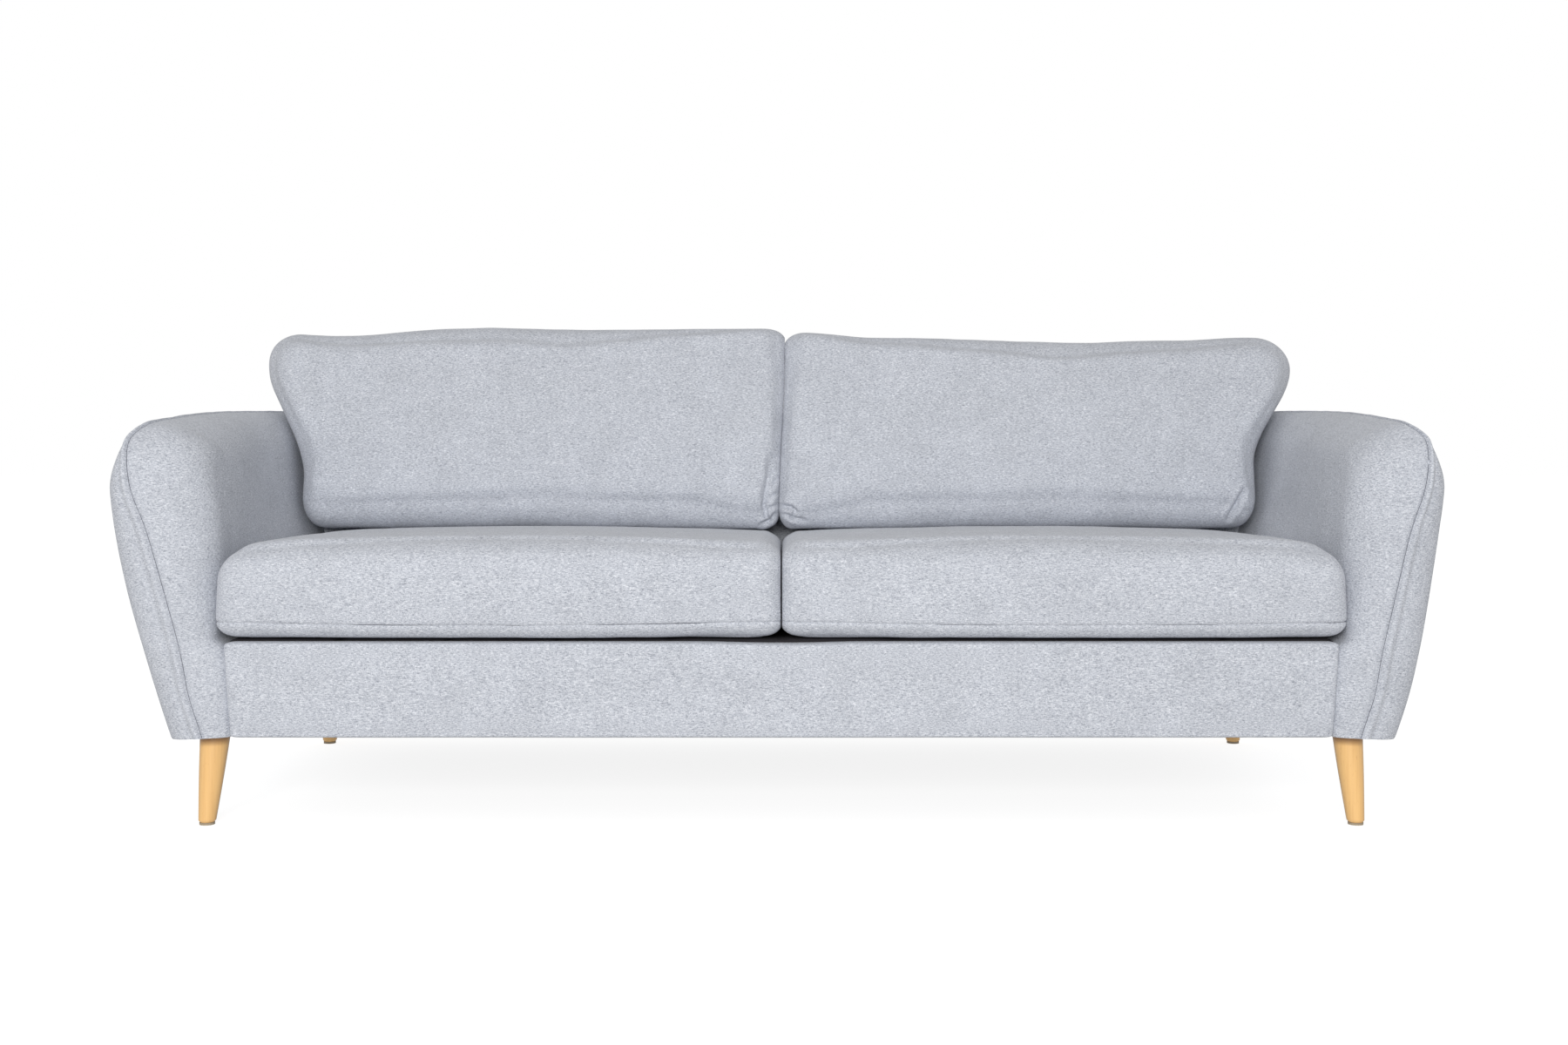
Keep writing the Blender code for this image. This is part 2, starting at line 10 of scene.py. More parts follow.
import bmesh
import bpy
import numpy as np
from bpy.props import FloatProperty, FloatVectorProperty, IntProperty, PointerProperty
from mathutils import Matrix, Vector, noise


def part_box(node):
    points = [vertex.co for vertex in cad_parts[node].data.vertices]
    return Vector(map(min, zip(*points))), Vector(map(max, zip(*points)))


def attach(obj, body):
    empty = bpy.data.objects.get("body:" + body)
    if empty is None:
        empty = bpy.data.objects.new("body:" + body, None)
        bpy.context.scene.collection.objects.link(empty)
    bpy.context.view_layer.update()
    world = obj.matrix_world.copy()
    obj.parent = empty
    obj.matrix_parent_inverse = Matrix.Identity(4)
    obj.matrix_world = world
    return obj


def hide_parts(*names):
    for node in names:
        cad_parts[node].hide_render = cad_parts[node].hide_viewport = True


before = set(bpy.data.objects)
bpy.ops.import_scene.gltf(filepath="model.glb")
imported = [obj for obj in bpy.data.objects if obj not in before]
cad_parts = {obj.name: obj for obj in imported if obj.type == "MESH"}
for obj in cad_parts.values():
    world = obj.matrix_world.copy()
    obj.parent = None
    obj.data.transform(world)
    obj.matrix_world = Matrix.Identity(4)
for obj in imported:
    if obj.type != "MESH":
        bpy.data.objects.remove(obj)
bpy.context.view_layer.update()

bl_info = {
    "name": "Wooden-legged sofa",
    "version": (1, 0, 0),
    "blender": (4, 5, 0),
    "location": "3D View > Sidebar > Sofa",
    "description": "Builds the upholstery, cushions, legs and fittings of a three-seat sofa",
    "category": "Add Mesh",
}

SIDES = {"left": -1, "right": 1}
ENDS = ("front", "back")

# Places read from the frame
APRON_LOW, APRON_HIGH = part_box("front_apron")
DECK_LOW, DECK_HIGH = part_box("seat_deck")
COVER_LOW, COVER_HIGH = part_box("dust_cover")
PADDING_LOW, PADDING_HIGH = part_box("back_padding")
ARM_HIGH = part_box("arm_outer_pad_right")[1]
BACK_CUSHION_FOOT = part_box("back_cushion_cover_right")[0][2]

FRONT = APRON_LOW[1]
BOTTOM = APRON_LOW[2]
REAR = ARM_HIGH[1]
DEPTH = REAR - FRONT
ARM_TOP = ARM_HIGH[2]
ARM_WIDEST = ARM_HIGH[0]
REAR_LEAN = 0.036  # run of the rear face per metre of height
BACK_LEAN = math.radians(12)
SEAT_RAKE = math.radians(1.5)
SEAT_FRONT_HEIGHT = 0.3130  # the deck plane under the front of the seat cushions
SEAT_FRONT = FRONT + 0.020
PAD_FOOT_Y, PAD_FOOT_Z = 0.250, 0.300  # the front face of the back padding
ZIP_HALF = 0.28  # half the length of a zip's chain


# ---------------------------------------------------------------- settings


def colour(name, description, default):
    return FloatVectorProperty(
        name=name, description=description, default=default, subtype="COLOR", size=3, min=0, max=1
    )


def length(name, description, default):
    return FloatProperty(
        name=name, description=description, default=default, unit="LENGTH", subtype="DISTANCE"
    )


class SofaFabric(bpy.types.PropertyGroup):
    base: colour("Cloth", "Main colour of the melange cloth", (0.555, 0.580, 0.635))
    dark: colour("Dark yarn", "Colour of the dark flecks", (0.235, 0.250, 0.300))
    light: colour("Light yarn", "Colour of the light flecks", (0.900, 0.915, 0.960))
    # dark thread in the seams: partly the thread's own colour, partly painted shade of the seam groove
    thread: colour("Seam thread and shade", "Colour down in the seams", (0.130, 0.135, 0.160))
    lining: colour("Lining", "Colour of the black lining", (0.016, 0.014, 0.017))
    yarn: length("Yarn", "Thickness of one yarn", 0.0010)
    contrast: FloatProperty(
        name="Melange", description="How strongly the flecks show", default=0.95, subtype="FACTOR"
    )


class SofaWood(bpy.types.PropertyGroup):
    base: colour("Leg wood", "Colour of the lacquered legs", (1.000, 0.615, 0.245))
    grain: colour("Leg grain", "Colour of the grain in the legs", (0.680, 0.360, 0.130))
    timber: colour("Frame timber", "Colour of the bare frame timber", (0.660, 0.470, 0.280))
    segments: IntProperty(name="Leg sides", description="Sides of a turned leg", default=64, min=16)


class SofaCushions(bpy.types.PropertyGroup):
    seat_edge: length("Seat edge", "Height of a seat cushion at its edges", 0.150)
    seat_crown: length("Seat crown", "Rise of a seat cushion at its middle", 0.013)
    seat_seam: length("Seat seam", "Height of the seam round a seat cushion", 0.025)
    back_thick: length("Back thickness", "Thickness of a back cushion", 0.180)
    top_left: length("Left top", "Height of the left back cushion", 0.383)
    top_right: length("Right top", "Height of the right back cushion", 0.365)
    cell: length("Cloth cell", "Size of one cell of the simulated cloth", 0.011)
    pressure: FloatProperty(name="Pressure", description="Pressure of the filling", default=4.0)


class SofaArms(bpy.types.PropertyGroup):
    ridge: length("Seam ridge", "Height of the folded seam allowance", 0.0040)
    ridge_width: length("Ridge width", "Width of the folded seam allowance", 0.0130)
    groove: length("Seam groove", "Depth of the seam", 0.0036)
    pucker: length("Pucker", "Height of the puckers along the seam", 0.0010)


class SofaStage(bpy.types.PropertyGroup):
    floor: colour("Floor", "Colour of the floor", (0.46, 0.46, 0.46))
    sky: colour("Surroundings", "Colour of the light all round", (1.0, 1.0, 1.0))
    sky_strength: FloatProperty(name="Surround light", description="Its strength", default=0.45)
    key_power: FloatProperty(
        name="Key light", description="Power of the soft box", default=194.0, unit="POWER"
    )
    eye_height: length("Eye height", "Height of the camera", 0.628)
    eye_distance: length("Eye distance", "From the camera to the front of the sofa", 2.75)
    lens: FloatProperty(name="Lens", description="Focal length in millimetres", default=39.28)


SETTINGS = {
    "sofa_fabric": SofaFabric,
    "sofa_wood": SofaWood,
    "sofa_cushions": SofaCushions,
    "sofa_arms": SofaArms,
    "sofa_stage": SofaStage,
}


# ---------------------------------------------------------------- shapes in numbers


def smooth(low, high, value):
    """0 below low, 1 above high, an even slope between."""
    t = np.clip((np.asarray(value, float) - low) / (high - low), 0, 1)
    return t * t * (3 - 2 * t)


def bump(value, centre, width):
    """A soft hill of height 1."""
    return np.exp(-(((np.asarray(value, float) - centre) / width) ** 2))


def spaced(low, high, step):
    """Even places from low to high, no further apart than step."""
    return np.linspace(low, high, int(math.ceil((high - low) / step)) + 1)


def ripple(points, scale, seed):
    """Smooth noise from -1 to 1 at each point."""
    offset = Vector((seed * 7.3, seed * 3.1, seed * 5.7))
    return np.array([noise.noise(Vector(p) * scale + offset) for p in points.tolist()])


def block_grid(us, vs, ws):
    """Places over the six faces of a block cut at us, vs and ws, and the quads between them."""
    shape = (len(us), len(vs), len(ws))
    shell = np.ones(shape, bool)
    shell[1:-1, 1:-1, 1:-1] = False
    number = np.full(shape, -1)
    number[shell] = np.arange(shell.sum())
    i, j, k = np.nonzero(shell)
    faces = []
    for plane, turned in (
        (number[0], True),
        (number[-1], False),
        (number[:, 0], False),
        (number[:, -1], True),
        (number[:, :, 0], True),
        (number[:, :, -1], False),
    ):
        quads = np.stack([plane[:-1, :-1], plane[1:, :-1], plane[1:, 1:], plane[:-1, 1:]], -1)
        quads = quads.reshape(-1, 4)
        faces.append(quads[:, ::-1] if turned else quads)
    return np.stack([us[i], vs[j], ws[k]], 1), np.concatenate(faces).tolist()


def round_block(points, low, high, radii_low, radii_high):
    """Roll the edges of a block from low to high: radii per axis near each end."""
    middle = (np.asarray(low) + np.asarray(high)) / 2
    radii = np.where(points < middle, radii_low, radii_high)
    core = np.clip(points, np.asarray(low) + radii_low, np.asarray(high) - radii_high)
    away = (points - core) / radii
    far = np.maximum(np.linalg.norm(away, axis=1, keepdims=True), 1e-9)
    return core + radii * away / far


def grid_faces(rows, columns, start=0):
    number = start + np.arange(rows * columns).reshape(rows, columns)
    quads = np.stack([number[:-1, :-1], number[1:, :-1], number[1:, 1:], number[:-1, 1:]], -1)
    return quads.reshape(-1, 4).tolist()


def grid_normals(grid):
    across = np.cross(np.gradient(grid, axis=0), np.gradient(grid, axis=1))
    return across / np.maximum(np.linalg.norm(across, axis=2, keepdims=True), 1e-12)


def tube_parts(path, radius, sides=6, start=0):
    """Points and faces of a closed round tube along a path."""
    path = np.asarray(path, float)
    along = np.gradient(path, axis=0)
    along /= np.maximum(np.linalg.norm(along, axis=1, keepdims=True), 1e-12)
    up = np.where(np.abs(along[:, 2:3]) > 0.9, [[1.0, 0, 0]], [[0, 0, 1.0]])
    first = np.cross(along, up)
    first /= np.maximum(np.linalg.norm(first, axis=1, keepdims=True), 1e-12)
    second = np.cross(along, first)
    turn = np.linspace(0, 2 * math.pi, sides, endpoint=False)
    ring = first[:, None] * np.cos(turn)[None, :, None] + second[:, None] * np.sin(turn)[None, :, None]
    points = (path[:, None] + radius * ring).reshape(-1, 3)
    number = start + np.arange(len(points)).reshape(len(path), sides)
    ahead = np.roll(number, -1, axis=1)
    quads = np.stack([number[:-1], number[1:], ahead[1:], ahead[:-1]], -1).reshape(-1, 4).tolist()
    return points, quads + [number[0].tolist(), number[-1][::-1].tolist()]


def pad_y(z):
    """The leaning front face of the back padding."""
    return PAD_FOOT_Y + (z - PAD_FOOT_Z) * math.tan(BACK_LEAN)


def deck_height(y):
    return SEAT_FRONT_HEIGHT - (y - SEAT_FRONT) * math.tan(SEAT_RAKE)


def rear_y(z):
    return REAR - REAR_LEAN * (ARM_TOP - z)


# ---------------------------------------------------------------- pieces


def make_object(name, points, faces, material):
    mesh = bpy.data.meshes.new(name)
    mesh.from_pydata(np.asarray(points).tolist(), [], faces)
    mesh.materials.append(material)
    bm = bmesh.new()
    bm.from_mesh(mesh)
    bmesh.ops.remove_doubles(bm, verts=bm.verts, dist=2e-6)
    bmesh.ops.recalc_face_normals(bm, faces=bm.faces)
    bm.to_mesh(mesh)
    bm.free()
    mesh.shade_smooth()
    obj = bpy.data.objects.new(name, mesh)
    bpy.context.scene.collection.objects.link(obj)
    return obj


def finish_piece(obj, body, nodes=()):
    """The piece rides on its body and stands for its CAD nodes."""
    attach(obj, body)
    if nodes:
        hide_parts(*nodes)
    return obj


def places(mesh):
    values = np.empty(len(mesh.vertices) * 3, np.float32)
    mesh.vertices.foreach_get("co", values)
    return values.reshape(-1, 3).astype(float)


def normals(mesh):
    values = np.empty(len(mesh.vertices) * 3, np.float32)
    mesh.vertex_normals.foreach_get("vector", values)
    return values.reshape(-1, 3).astype(float)


def put_places(mesh, points):
    mesh.vertices.foreach_set("co", np.asarray(points, np.float32).ravel())
    mesh.update()


def refine(obj, levels):
    """Smooth the mesh into finer quads."""
    modifier = obj.modifiers.new("Fine", "SUBSURF")
    modifier.levels = levels
    graph = bpy.context.evaluated_depsgraph_get()
    fine = bpy.data.meshes.new_from_object(obj.evaluated_get(graph))
    obj.modifiers.clear()
    coarse = obj.data
    obj.data = fine
    bpy.data.meshes.remove(coarse)
    fine.name = obj.name
    fine.shade_smooth()


def join_parts(name, parts, material):
    """One object from several (points, faces) parts, each numbered from 0."""
    points, faces, start = [], [], 0
    for part_points, part_faces in parts:
        points.append(np.asarray(part_points))
        faces += [[number + start for number in face] for face in part_faces]
        start += len(part_points)
    mesh = bpy.data.meshes.new(name)
    mesh.from_pydata(np.concatenate(points).tolist(), [], faces)
    mesh.materials.append(material)
    mesh.shade_smooth()
    obj = bpy.data.objects.new(name, mesh)
    bpy.context.scene.collection.objects.link(obj)
    return obj


def blend_neighbours(mesh, values, rounds):
    """Even out values over the mesh: each point takes half of its neighbours' mean."""
    ends = np.empty(len(mesh.edges) * 2, np.int32)
    mesh.edges.foreach_get("vertices", ends)
    ends = ends.reshape(-1, 2)
    count = np.bincount(ends.ravel(), minlength=len(values))[:, None]
    for _ in range(rounds):
        total = np.zeros_like(values)
        np.add.at(total, ends[:, 0], values[ends[:, 1]])
        np.add.at(total, ends[:, 1], values[ends[:, 0]])
        values = (values + total / count) / 2
    return values


COVER_CLOTH = {
    "quality": 6,
    "mass": 0.25,
    "tension_stiffness": 12,
    "compression_stiffness": 12,
    "shear_stiffness": 6,
    "bending_stiffness": 0.6,
    "shrink_min": -0.012,
    "use_pressure": True,
}
FILL_STEPS = 20
EVENING_ROUNDS = 40
MOST_INWARD = 0.001


def inflate(obj, pressure, most):
    """Fill the cover: a short cloth run under pressure, no point moving further than most.

    The filling holds the cover out, so no point moves in by more than a little.
    """
    scene = bpy.context.scene
    before, facing = places(obj.data), normals(obj.data)
    cloth = obj.modifiers.new("Fill", "CLOTH")
    for label, value in COVER_CLOTH.items():
        setattr(cloth.settings, label, value)
    cloth.settings.uniform_pressure_force = pressure
    cloth.settings.effector_weights.gravity = 0
    cloth.point_cache.frame_start = 1
    cloth.point_cache.frame_end = FILL_STEPS
    for step in range(1, FILL_STEPS + 1):
        scene.frame_set(step)
    graph = bpy.context.evaluated_depsgraph_get()
    evaluated = obj.evaluated_get(graph)
    mesh = evaluated.to_mesh()
    moved = places(mesh) - before
    evaluated.to_mesh_clear()
    obj.modifiers.clear()
    scene.frame_set(1)
    moved = blend_neighbours(obj.data, moved, EVENING_ROUNDS)
    outward = (moved * facing).sum(1, keepdims=True)
    sliding = 0.3 * (moved - facing * outward)
    moved = sliding + facing * np.maximum(most * np.tanh(outward / most), -MOST_INWARD)
    put_places(obj.data, before + moved)


# ---------------------------------------------------------------- materials


def add_node(tree, kind, **values):
    node = tree.nodes.new(kind)
    for name, value in values.items():
        setattr(node, name, value)
    return node


def feed(tree, target, socket, source):
    """Link a socket, or set a plain value."""
    if isinstance(source, bpy.types.NodeSocket):
        tree.links.new(source, target.inputs[socket])
    else:
        target.inputs[socket].default_value = source


def calculate(tree, operation, first, second=0.0, third=0.0):
    node = add_node(tree, "ShaderNodeMath", operation=operation)
    for place, source in enumerate((first, second, third)):
        feed(tree, node, place, source)
    return node.outputs[0]


def remap(tree, value, low, high, to_low=0.0, to_high=1.0):
    node = add_node(tree, "ShaderNodeMapRange", clamp=True)
    for place, source in enumerate((value, low, high, to_low, to_high)):
        feed(tree, node, place, source)
    return node.outputs[0]


def mix_colour(tree, factor, first, second, blend="MIX"):
    node = add_node(tree, "ShaderNodeMix", data_type="RGBA", blend_type=blend)
    feed(tree, node, "Factor", factor)
    for name, source in (("A", first), ("B", second)):
        socket = next(s for s in node.inputs if s.name == name and s.type == "RGBA")
        if isinstance(source, bpy.types.NodeSocket):
            tree.links.new(source, socket)
        else:
            socket.default_value = (*source[:3], 1)
    return next(s for s in node.outputs if s.type == "RGBA")


def mix_vector(tree, factor, first, second):
    node = add_node(tree, "ShaderNodeMix", data_type="VECTOR")
    tree.links.new(factor, node.inputs["Factor"])
    for name, source in (("A", first), ("B", second)):
        socket = next(s for s in node.inputs if s.name == name and s.type == "VECTOR")
        tree.links.new(source, socket)
    return next(s for s in node.outputs if s.type == "VECTOR")


def noise_at(tree, vector, scale=1.0, detail=2.0, roughness=0.5):
    node = add_node(tree, "ShaderNodeTexNoise", noise_dimensions="3D")
    tree.links.new(vector, node.inputs["Vector"])
    node.inputs["Scale"].default_value = scale
    node.inputs["Detail"].default_value = detail
    node.inputs["Roughness"].default_value = roughness
    return node.outputs[0]


def stretch(tree, vector, factors):
    node = add_node(tree, "ShaderNodeVectorMath", operation="MULTIPLY")
    tree.links.new(vector, node.inputs[0])
    feed(tree, node, 1, factors)
    return node.outputs[0]


def in_steps(tree, vector, step):
    """The vector counted in steps of one size."""
    per_step = calculate(tree, "DIVIDE", 1.0, step)
    scale = add_node(tree, "ShaderNodeCombineXYZ")
    for axis in "XYZ":
        tree.links.new(per_step, scale.inputs[axis])
    return stretch(tree, vector, scale.outputs[0])


def object_place(tree):
    return add_node(tree, "ShaderNodeTexCoord").outputs["Object"]


COLOUR, VALUE = "NodeSocketColor", "NodeSocketFloat"


def new_group(name, inputs):
    """A node group with named sockets: (its tree, its input node, its output node)."""
    tree = bpy.data.node_groups.new(name, "ShaderNodeTree")
    for label, kind, default in inputs:
        socket = tree.interface.new_socket(label, in_out="INPUT", socket_type=kind)
        socket.default_value = default
    for label, kind in (("Colour", COLOUR), ("Roughness", VALUE), ("Height", VALUE)):
        tree.interface.new_socket(label, in_out="OUTPUT", socket_type=kind)
    return tree, add_node(tree, "NodeGroupInput"), add_node(tree, "NodeGroupOutput")


def put_out(tree, result, **sources):
    for label, source in sources.items():
        tree.links.new(source, result.inputs[label])
    return tree


def cloth_directions(tree):
    """Object places laid flat along the surface: x along the weft, y along the warp."""
    place = add_node(tree, "ShaderNodeTexCoord")
    split = add_node(tree, "ShaderNodeSeparateXYZ")
    tree.links.new(place.outputs["Object"], split.inputs[0])
    facing = add_node(tree, "ShaderNodeSeparateXYZ")
    tree.links.new(place.outputs["Normal"], facing.inputs[0])
    layouts = []
    for weft, warp, deep in (("X", "Z", "Y"), ("Y", "Z", "X"), ("X", "Y", "Z")):
        join = add_node(tree, "ShaderNodeCombineXYZ")
        for name, axis in zip("XYZ", (weft, warp, deep)):
            tree.links.new(split.outputs[axis], join.inputs[name])
        layouts.append(join.outputs[0])
    sideways = calculate(tree, "ABSOLUTE", facing.outputs["X"])
    upwards = calculate(tree, "ABSOLUTE", facing.outputs["Z"])
    front_or_side = mix_vector(
        tree, calculate(tree, "GREATER_THAN", sideways, 0.72), layouts[0], layouts[1]
    )
    return mix_vector(
        tree, calculate(tree, "GREATER_THAN", upwards, 0.72), front_or_side, layouts[2]
    )


def make_melange_group():
    """Heathered plain weave: weft slubs, warp grain, a slow change of shade."""
    tree, given, result = new_group(
        "Melange weave",
        (
            ("Cloth", COLOUR, (0.5, 0.5, 0.5, 1)),
            ("Dark yarn", COLOUR, (0.2, 0.2, 0.2, 1)),
            ("Light yarn", COLOUR, (0.9, 0.9, 0.9, 1)),
            ("Yarn", VALUE, 0.002),
            ("Melange", VALUE, 0.6),
        ),
    )
    flat = cloth_directions(tree)
    yarns = in_steps(tree, flat, given.outputs["Yarn"])
    slub = noise_at(tree, stretch(tree, yarns, (0.20, 0.66, 0.3)), 1, 2.0, 0.62)
    fleck = noise_at(tree, stretch(tree, yarns, (0.36, 1.00, 0.4)), 1, 1.5, 0.60)
    warp = noise_at(tree, stretch(tree, yarns, (1.00, 0.40, 0.4)), 1, 1.0, 0.50)
    cloud = noise_at(tree, flat, 14.0, 5.0, 0.70)
    dark = calculate(
        tree, "MAXIMUM", remap(tree, slub, 0.52, 0.72), remap(tree, fleck, 0.54, 0.76, 0.0, 0.9)
    )
    light = calculate(
        tree, "MAXIMUM", remap(tree, slub, 0.46, 0.28), remap(tree, warp, 0.52, 0.78, 0.0, 0.8)
    )
    shade = given.outputs["Cloth"]
    for share, yarn in ((dark, "Dark yarn"), (light, "Light yarn")):
        share = calculate(tree, "MULTIPLY", share, given.outputs["Melange"])
        shade = mix_colour(tree, share, shade, given.outputs[yarn])
    slow = add_node(tree, "ShaderNodeHueSaturation")
    tree.links.new(shade, slow.inputs["Color"])
    tree.links.new(remap(tree, cloud, 0.3, 0.7, 0.940, 1.060), slow.inputs["Value"])
    height = calculate(tree, "ADD", calculate(tree, "MULTIPLY", fleck, 0.6), warp)
    rough = remap(tree, height, 0.5, 1.1, 0.98, 0.82)
    return put_out(tree, result, Colour=slow.outputs[0], Roughness=rough, Height=height)


def make_grain_group():
    """Straight grain along Z with short dark pores."""
    tree, given, result = new_group(
        "Straight grain",
        (
            ("Wood", COLOUR, (0.6, 0.4, 0.2, 1)),
            ("Grain", COLOUR, (0.4, 0.2, 0.1, 1)),
            ("Line width", VALUE, 0.004),
        ),
    )
    lines = in_steps(tree, object_place(tree), given.outputs["Line width"])
    streak = noise_at(tree, stretch(tree, lines, (1.0, 1.0, 0.035)), 1, 3.0, 0.6)
    broad = noise_at(tree, stretch(tree, lines, (0.25, 0.25, 0.02)), 1, 2.0, 0.5)
    pore = noise_at(tree, stretch(tree, lines, (3.2, 3.2, 0.35)), 1, 1.0, 0.5)
    fine = remap(tree, streak, 0.42, 0.72, 0.0, 0.26)
    share = calculate(tree, "ADD", fine, remap(tree, broad, 0.40, 0.70, 0.0, 0.22))
    pores = remap(tree, pore, 0.70, 0.78, 0.0, 0.55)
    tone = mix_colour(tree, share, given.outputs["Wood"], given.outputs["Grain"])
    tone = mix_colour(tree, pores, tone, given.outputs["Grain"])
    rough = remap(tree, streak, 0.3, 0.7, 0.30, 0.42)
    height = calculate(tree, "SUBTRACT", streak, pores)
    return put_out(tree, result, Colour=tone, Roughness=rough, Height=height)


def make_felt_group():
    """Pressed fibres and small embossed dots, as on lining, webbing and tape."""
    tree, given, result = new_group(
        "Pressed fibre",
        (
            ("Fibre", COLOUR, (0.1, 0.1, 0.1, 1)),
            ("Worn", COLOUR, (0.2, 0.2, 0.2, 1)),
            ("Dot", VALUE, 0.003),
        ),
    )
    place = object_place(tree)
    spots = in_steps(tree, place, given.outputs["Dot"])
    cells = add_node(tree, "ShaderNodeTexVoronoi")
    tree.links.new(spots, cells.inputs["Vector"])
    cells.inputs["Scale"].default_value = 1.0
    fibre = noise_at(tree, stretch(tree, spots, (2.5, 0.8, 2.5)), 1, 3.0, 0.65)
    patch = remap(tree, noise_at(tree, place, 6.0, 3.0, 0.6), 0.35, 0.75, 0.4, 1.0)
    worn = calculate(tree, "MULTIPLY", remap(tree, fibre, 0.45, 0.75), patch)
    tone = mix_colour(tree, worn, given.outputs["Fibre"], given.outputs["Worn"])
    rough = remap(tree, fibre, 0.3, 0.7, 0.80, 0.98)
    height = calculate(tree, "ADD", cells.outputs["Distance"], fibre)
    return put_out(tree, result, Colour=tone, Roughness=rough, Height=height)


def make_brushed_group():
    """Drawn or plated metal: fine scratches and slight stains."""
    tree, given, result = new_group(
        "Drawn metal",
        (("Metal", COLOUR, (0.6, 0.6, 0.6, 1)), ("Stain", COLOUR, (0.4, 0.4, 0.4, 1))),
    )
    place = object_place(tree)
    scratch = noise_at(tree, stretch(tree, place, (250, 1600, 1600)), 1, 2.0, 0.6)
    stain = remap(tree, noise_at(tree, place, 60.0, 3.0, 0.6), 0.45, 0.7)
    tone = mix_colour(tree, stain, given.outputs["Metal"], given.outputs["Stain"])
    rough = remap(tree, scratch, 0.3, 0.7, 0.24, 0.48)
    return put_out(tree, result, Colour=tone, Roughness=rough, Height=scratch)


def surface(name, group, given, bump_height=0.0003, **constants):
    """A material fed by one shared group; plain numbers sit on the shader's own sockets."""
    material = bpy.data.materials.new(name)
    material.use_nodes = True
    tree = material.node_tree
    shader = tree.nodes["Principled BSDF"]
    effect = add_node(tree, "ShaderNodeGroup")
    effect.node_tree = group
    for label, value in given.items():
        effect.inputs[label].default_value = (*value, 1) if hasattr(value, "__len__") else value
    tree.links.new(effect.outputs["Colour"], shader.inputs["Base Color"])
    tree.links.new(effect.outputs["Roughness"], shader.inputs["Roughness"])
    relief = add_node(tree, "ShaderNodeBump")
    relief.inputs["Distance"].default_value = bump_height
    relief.inputs["Strength"].default_value = 1.0
    tree.links.new(effect.outputs["Height"], relief.inputs["Height"])
    tree.links.new(relief.outputs[0], shader.inputs["Normal"])
    for label, value in constants.items():
        shader.inputs[label.replace("_", " ").title()].default_value = value
    material.diffuse_color = (*list(given.values())[0], 1)
    return material


# colour of the painted shade on the top of each leg, under the sofa's body
LEG_TOP_SHADE = (0.44, 0.22, 0.088)


def paint_leg_top_shade(material, low, high):
    """The top of a turned leg is darkened just under the seat: painted shade where the sofa's body
    shades it.
    """
    tree = material.node_tree
    base = tree.nodes["Principled BSDF"].inputs["Base Color"]
    split = add_node(tree, "ShaderNodeSeparateXYZ")
    tree.links.new(object_place(tree), split.inputs[0])
    # share of painted shade, rising towards the top of the leg
    share = remap(tree, split.outputs["Z"], low, high, 0.0, 0.92)
    tree.links.new(mix_colour(tree, share, base.links[0].from_socket, LEG_TOP_SHADE), base)


MATERIALS = {}


def make_materials(scene):
    fabric, wood = scene.sofa_fabric, scene.sofa_wood
    melange, grain = make_melange_group(), make_grain_group()
    felt, drawn = make_felt_group(), make_brushed_group()
    cloth = {
        "Cloth": fabric.base,
        "Dark yarn": fabric.dark,
        "Light yarn": fabric.light,
        "Yarn": fabric.yarn,
        "Melange": fabric.contrast,
    }
    soft = {"sheen_weight": 0.18, "sheen_roughness": 0.55}
    MATERIALS["cloth"] = surface("Melange upholstery", melange, cloth, 0.0006, **soft)
    MATERIALS["leg"] = surface(
        "Lacquered leg wood",
        grain,
        {"Wood": wood.base, "Grain": wood.grain, "Line width": 0.0042},
        0.00006,
        coat_weight=0.35,
        coat_roughness=0.22,
    )
    # painted shade: darken the top of each leg, where the seat's underside shades it
    leg_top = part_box("leg_front_left")[1][2]
    paint_leg_top_shade(MATERIALS["leg"], leg_top - 0.020, leg_top - 0.009)
    MATERIALS["timber"] = surface(
        "Frame timber",
        grain,
        {"Wood": wood.timber, "Grain": (0.40, 0.25, 0.12), "Line width": 0.007},
        0.0004,
    )
    steel = {"Metal": (0.62, 0.63, 0.65), "Stain": (0.50, 0.50, 0.50)}
    MATERIALS["steel"] = surface("Plated steel", drawn, steel, 0.00003, metallic=1.0)
    zipper = {"Metal": (0.33, 0.34, 0.37), "Stain": (0.20, 0.20, 0.22)}
    MATERIALS["zip"] = surface("Grey zip metal", drawn, zipper, 0.00003, metallic=0.9)
    # the seam thread is darker than the cloth: partly its own colour, partly painted shade down in the
    # seam grooves
    thread, lining = fabric.thread, fabric.lining
    felts = (
        ("seam", "Seam thread and shade", thread, [1.5 * c for c in thread], 0.0012, 0.0002),
        ("lining", "Black lining", lining, [3.2 * c for c in lining], 0.0026, 0.0004),
        ("webbing", "Elastic webbing", (0.075, 0.072, 0.078), (0.30, 0.29, 0.30), 0.0018, 0.0004),
        ("zip tape", "Zip tape", (0.21, 0.22, 0.26), (0.34, 0.36, 0.41), 0.0010, 0.0002),
        ("glide", "Felt glide", (0.40, 0.32, 0.22), (0.60, 0.52, 0.40), 0.0012, 0.0003),
    )
    for key, name, fibre, worn, dot, relief in felts:
        given = {"Fibre": fibre, "Worn": worn, "Dot": dot}
        MATERIALS[key] = surface(name, felt, given, relief)


NODE_MATERIALS = (
    ("leg_stud", "steel"),
    ("leg_glide", "glide"),
    ("leg_block", "timber"),
    ("seat_spring", "steel"),
    ("arm_frame", "timber"),
    ("back_post", "timber"),
    ("back_top_rail", "timber"),
    ("back_webbing", "webbing"),
    ("seat_zip_slider", "zip"),
    ("back_zip_slider", "zip"),
    ("base_", "timber"),
)


def dress_frame():
    """Give each carried-over node its finish."""
    for name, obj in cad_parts.items():
        for start, finish in NODE_MATERIALS:
            if name.startswith(start):
                for slot in obj.material_slots:
                    slot.material = MATERIALS[finish]
                if not obj.material_slots:
                    obj.data.materials.append(MATERIALS[finish])


# ---------------------------------------------------------------- arms


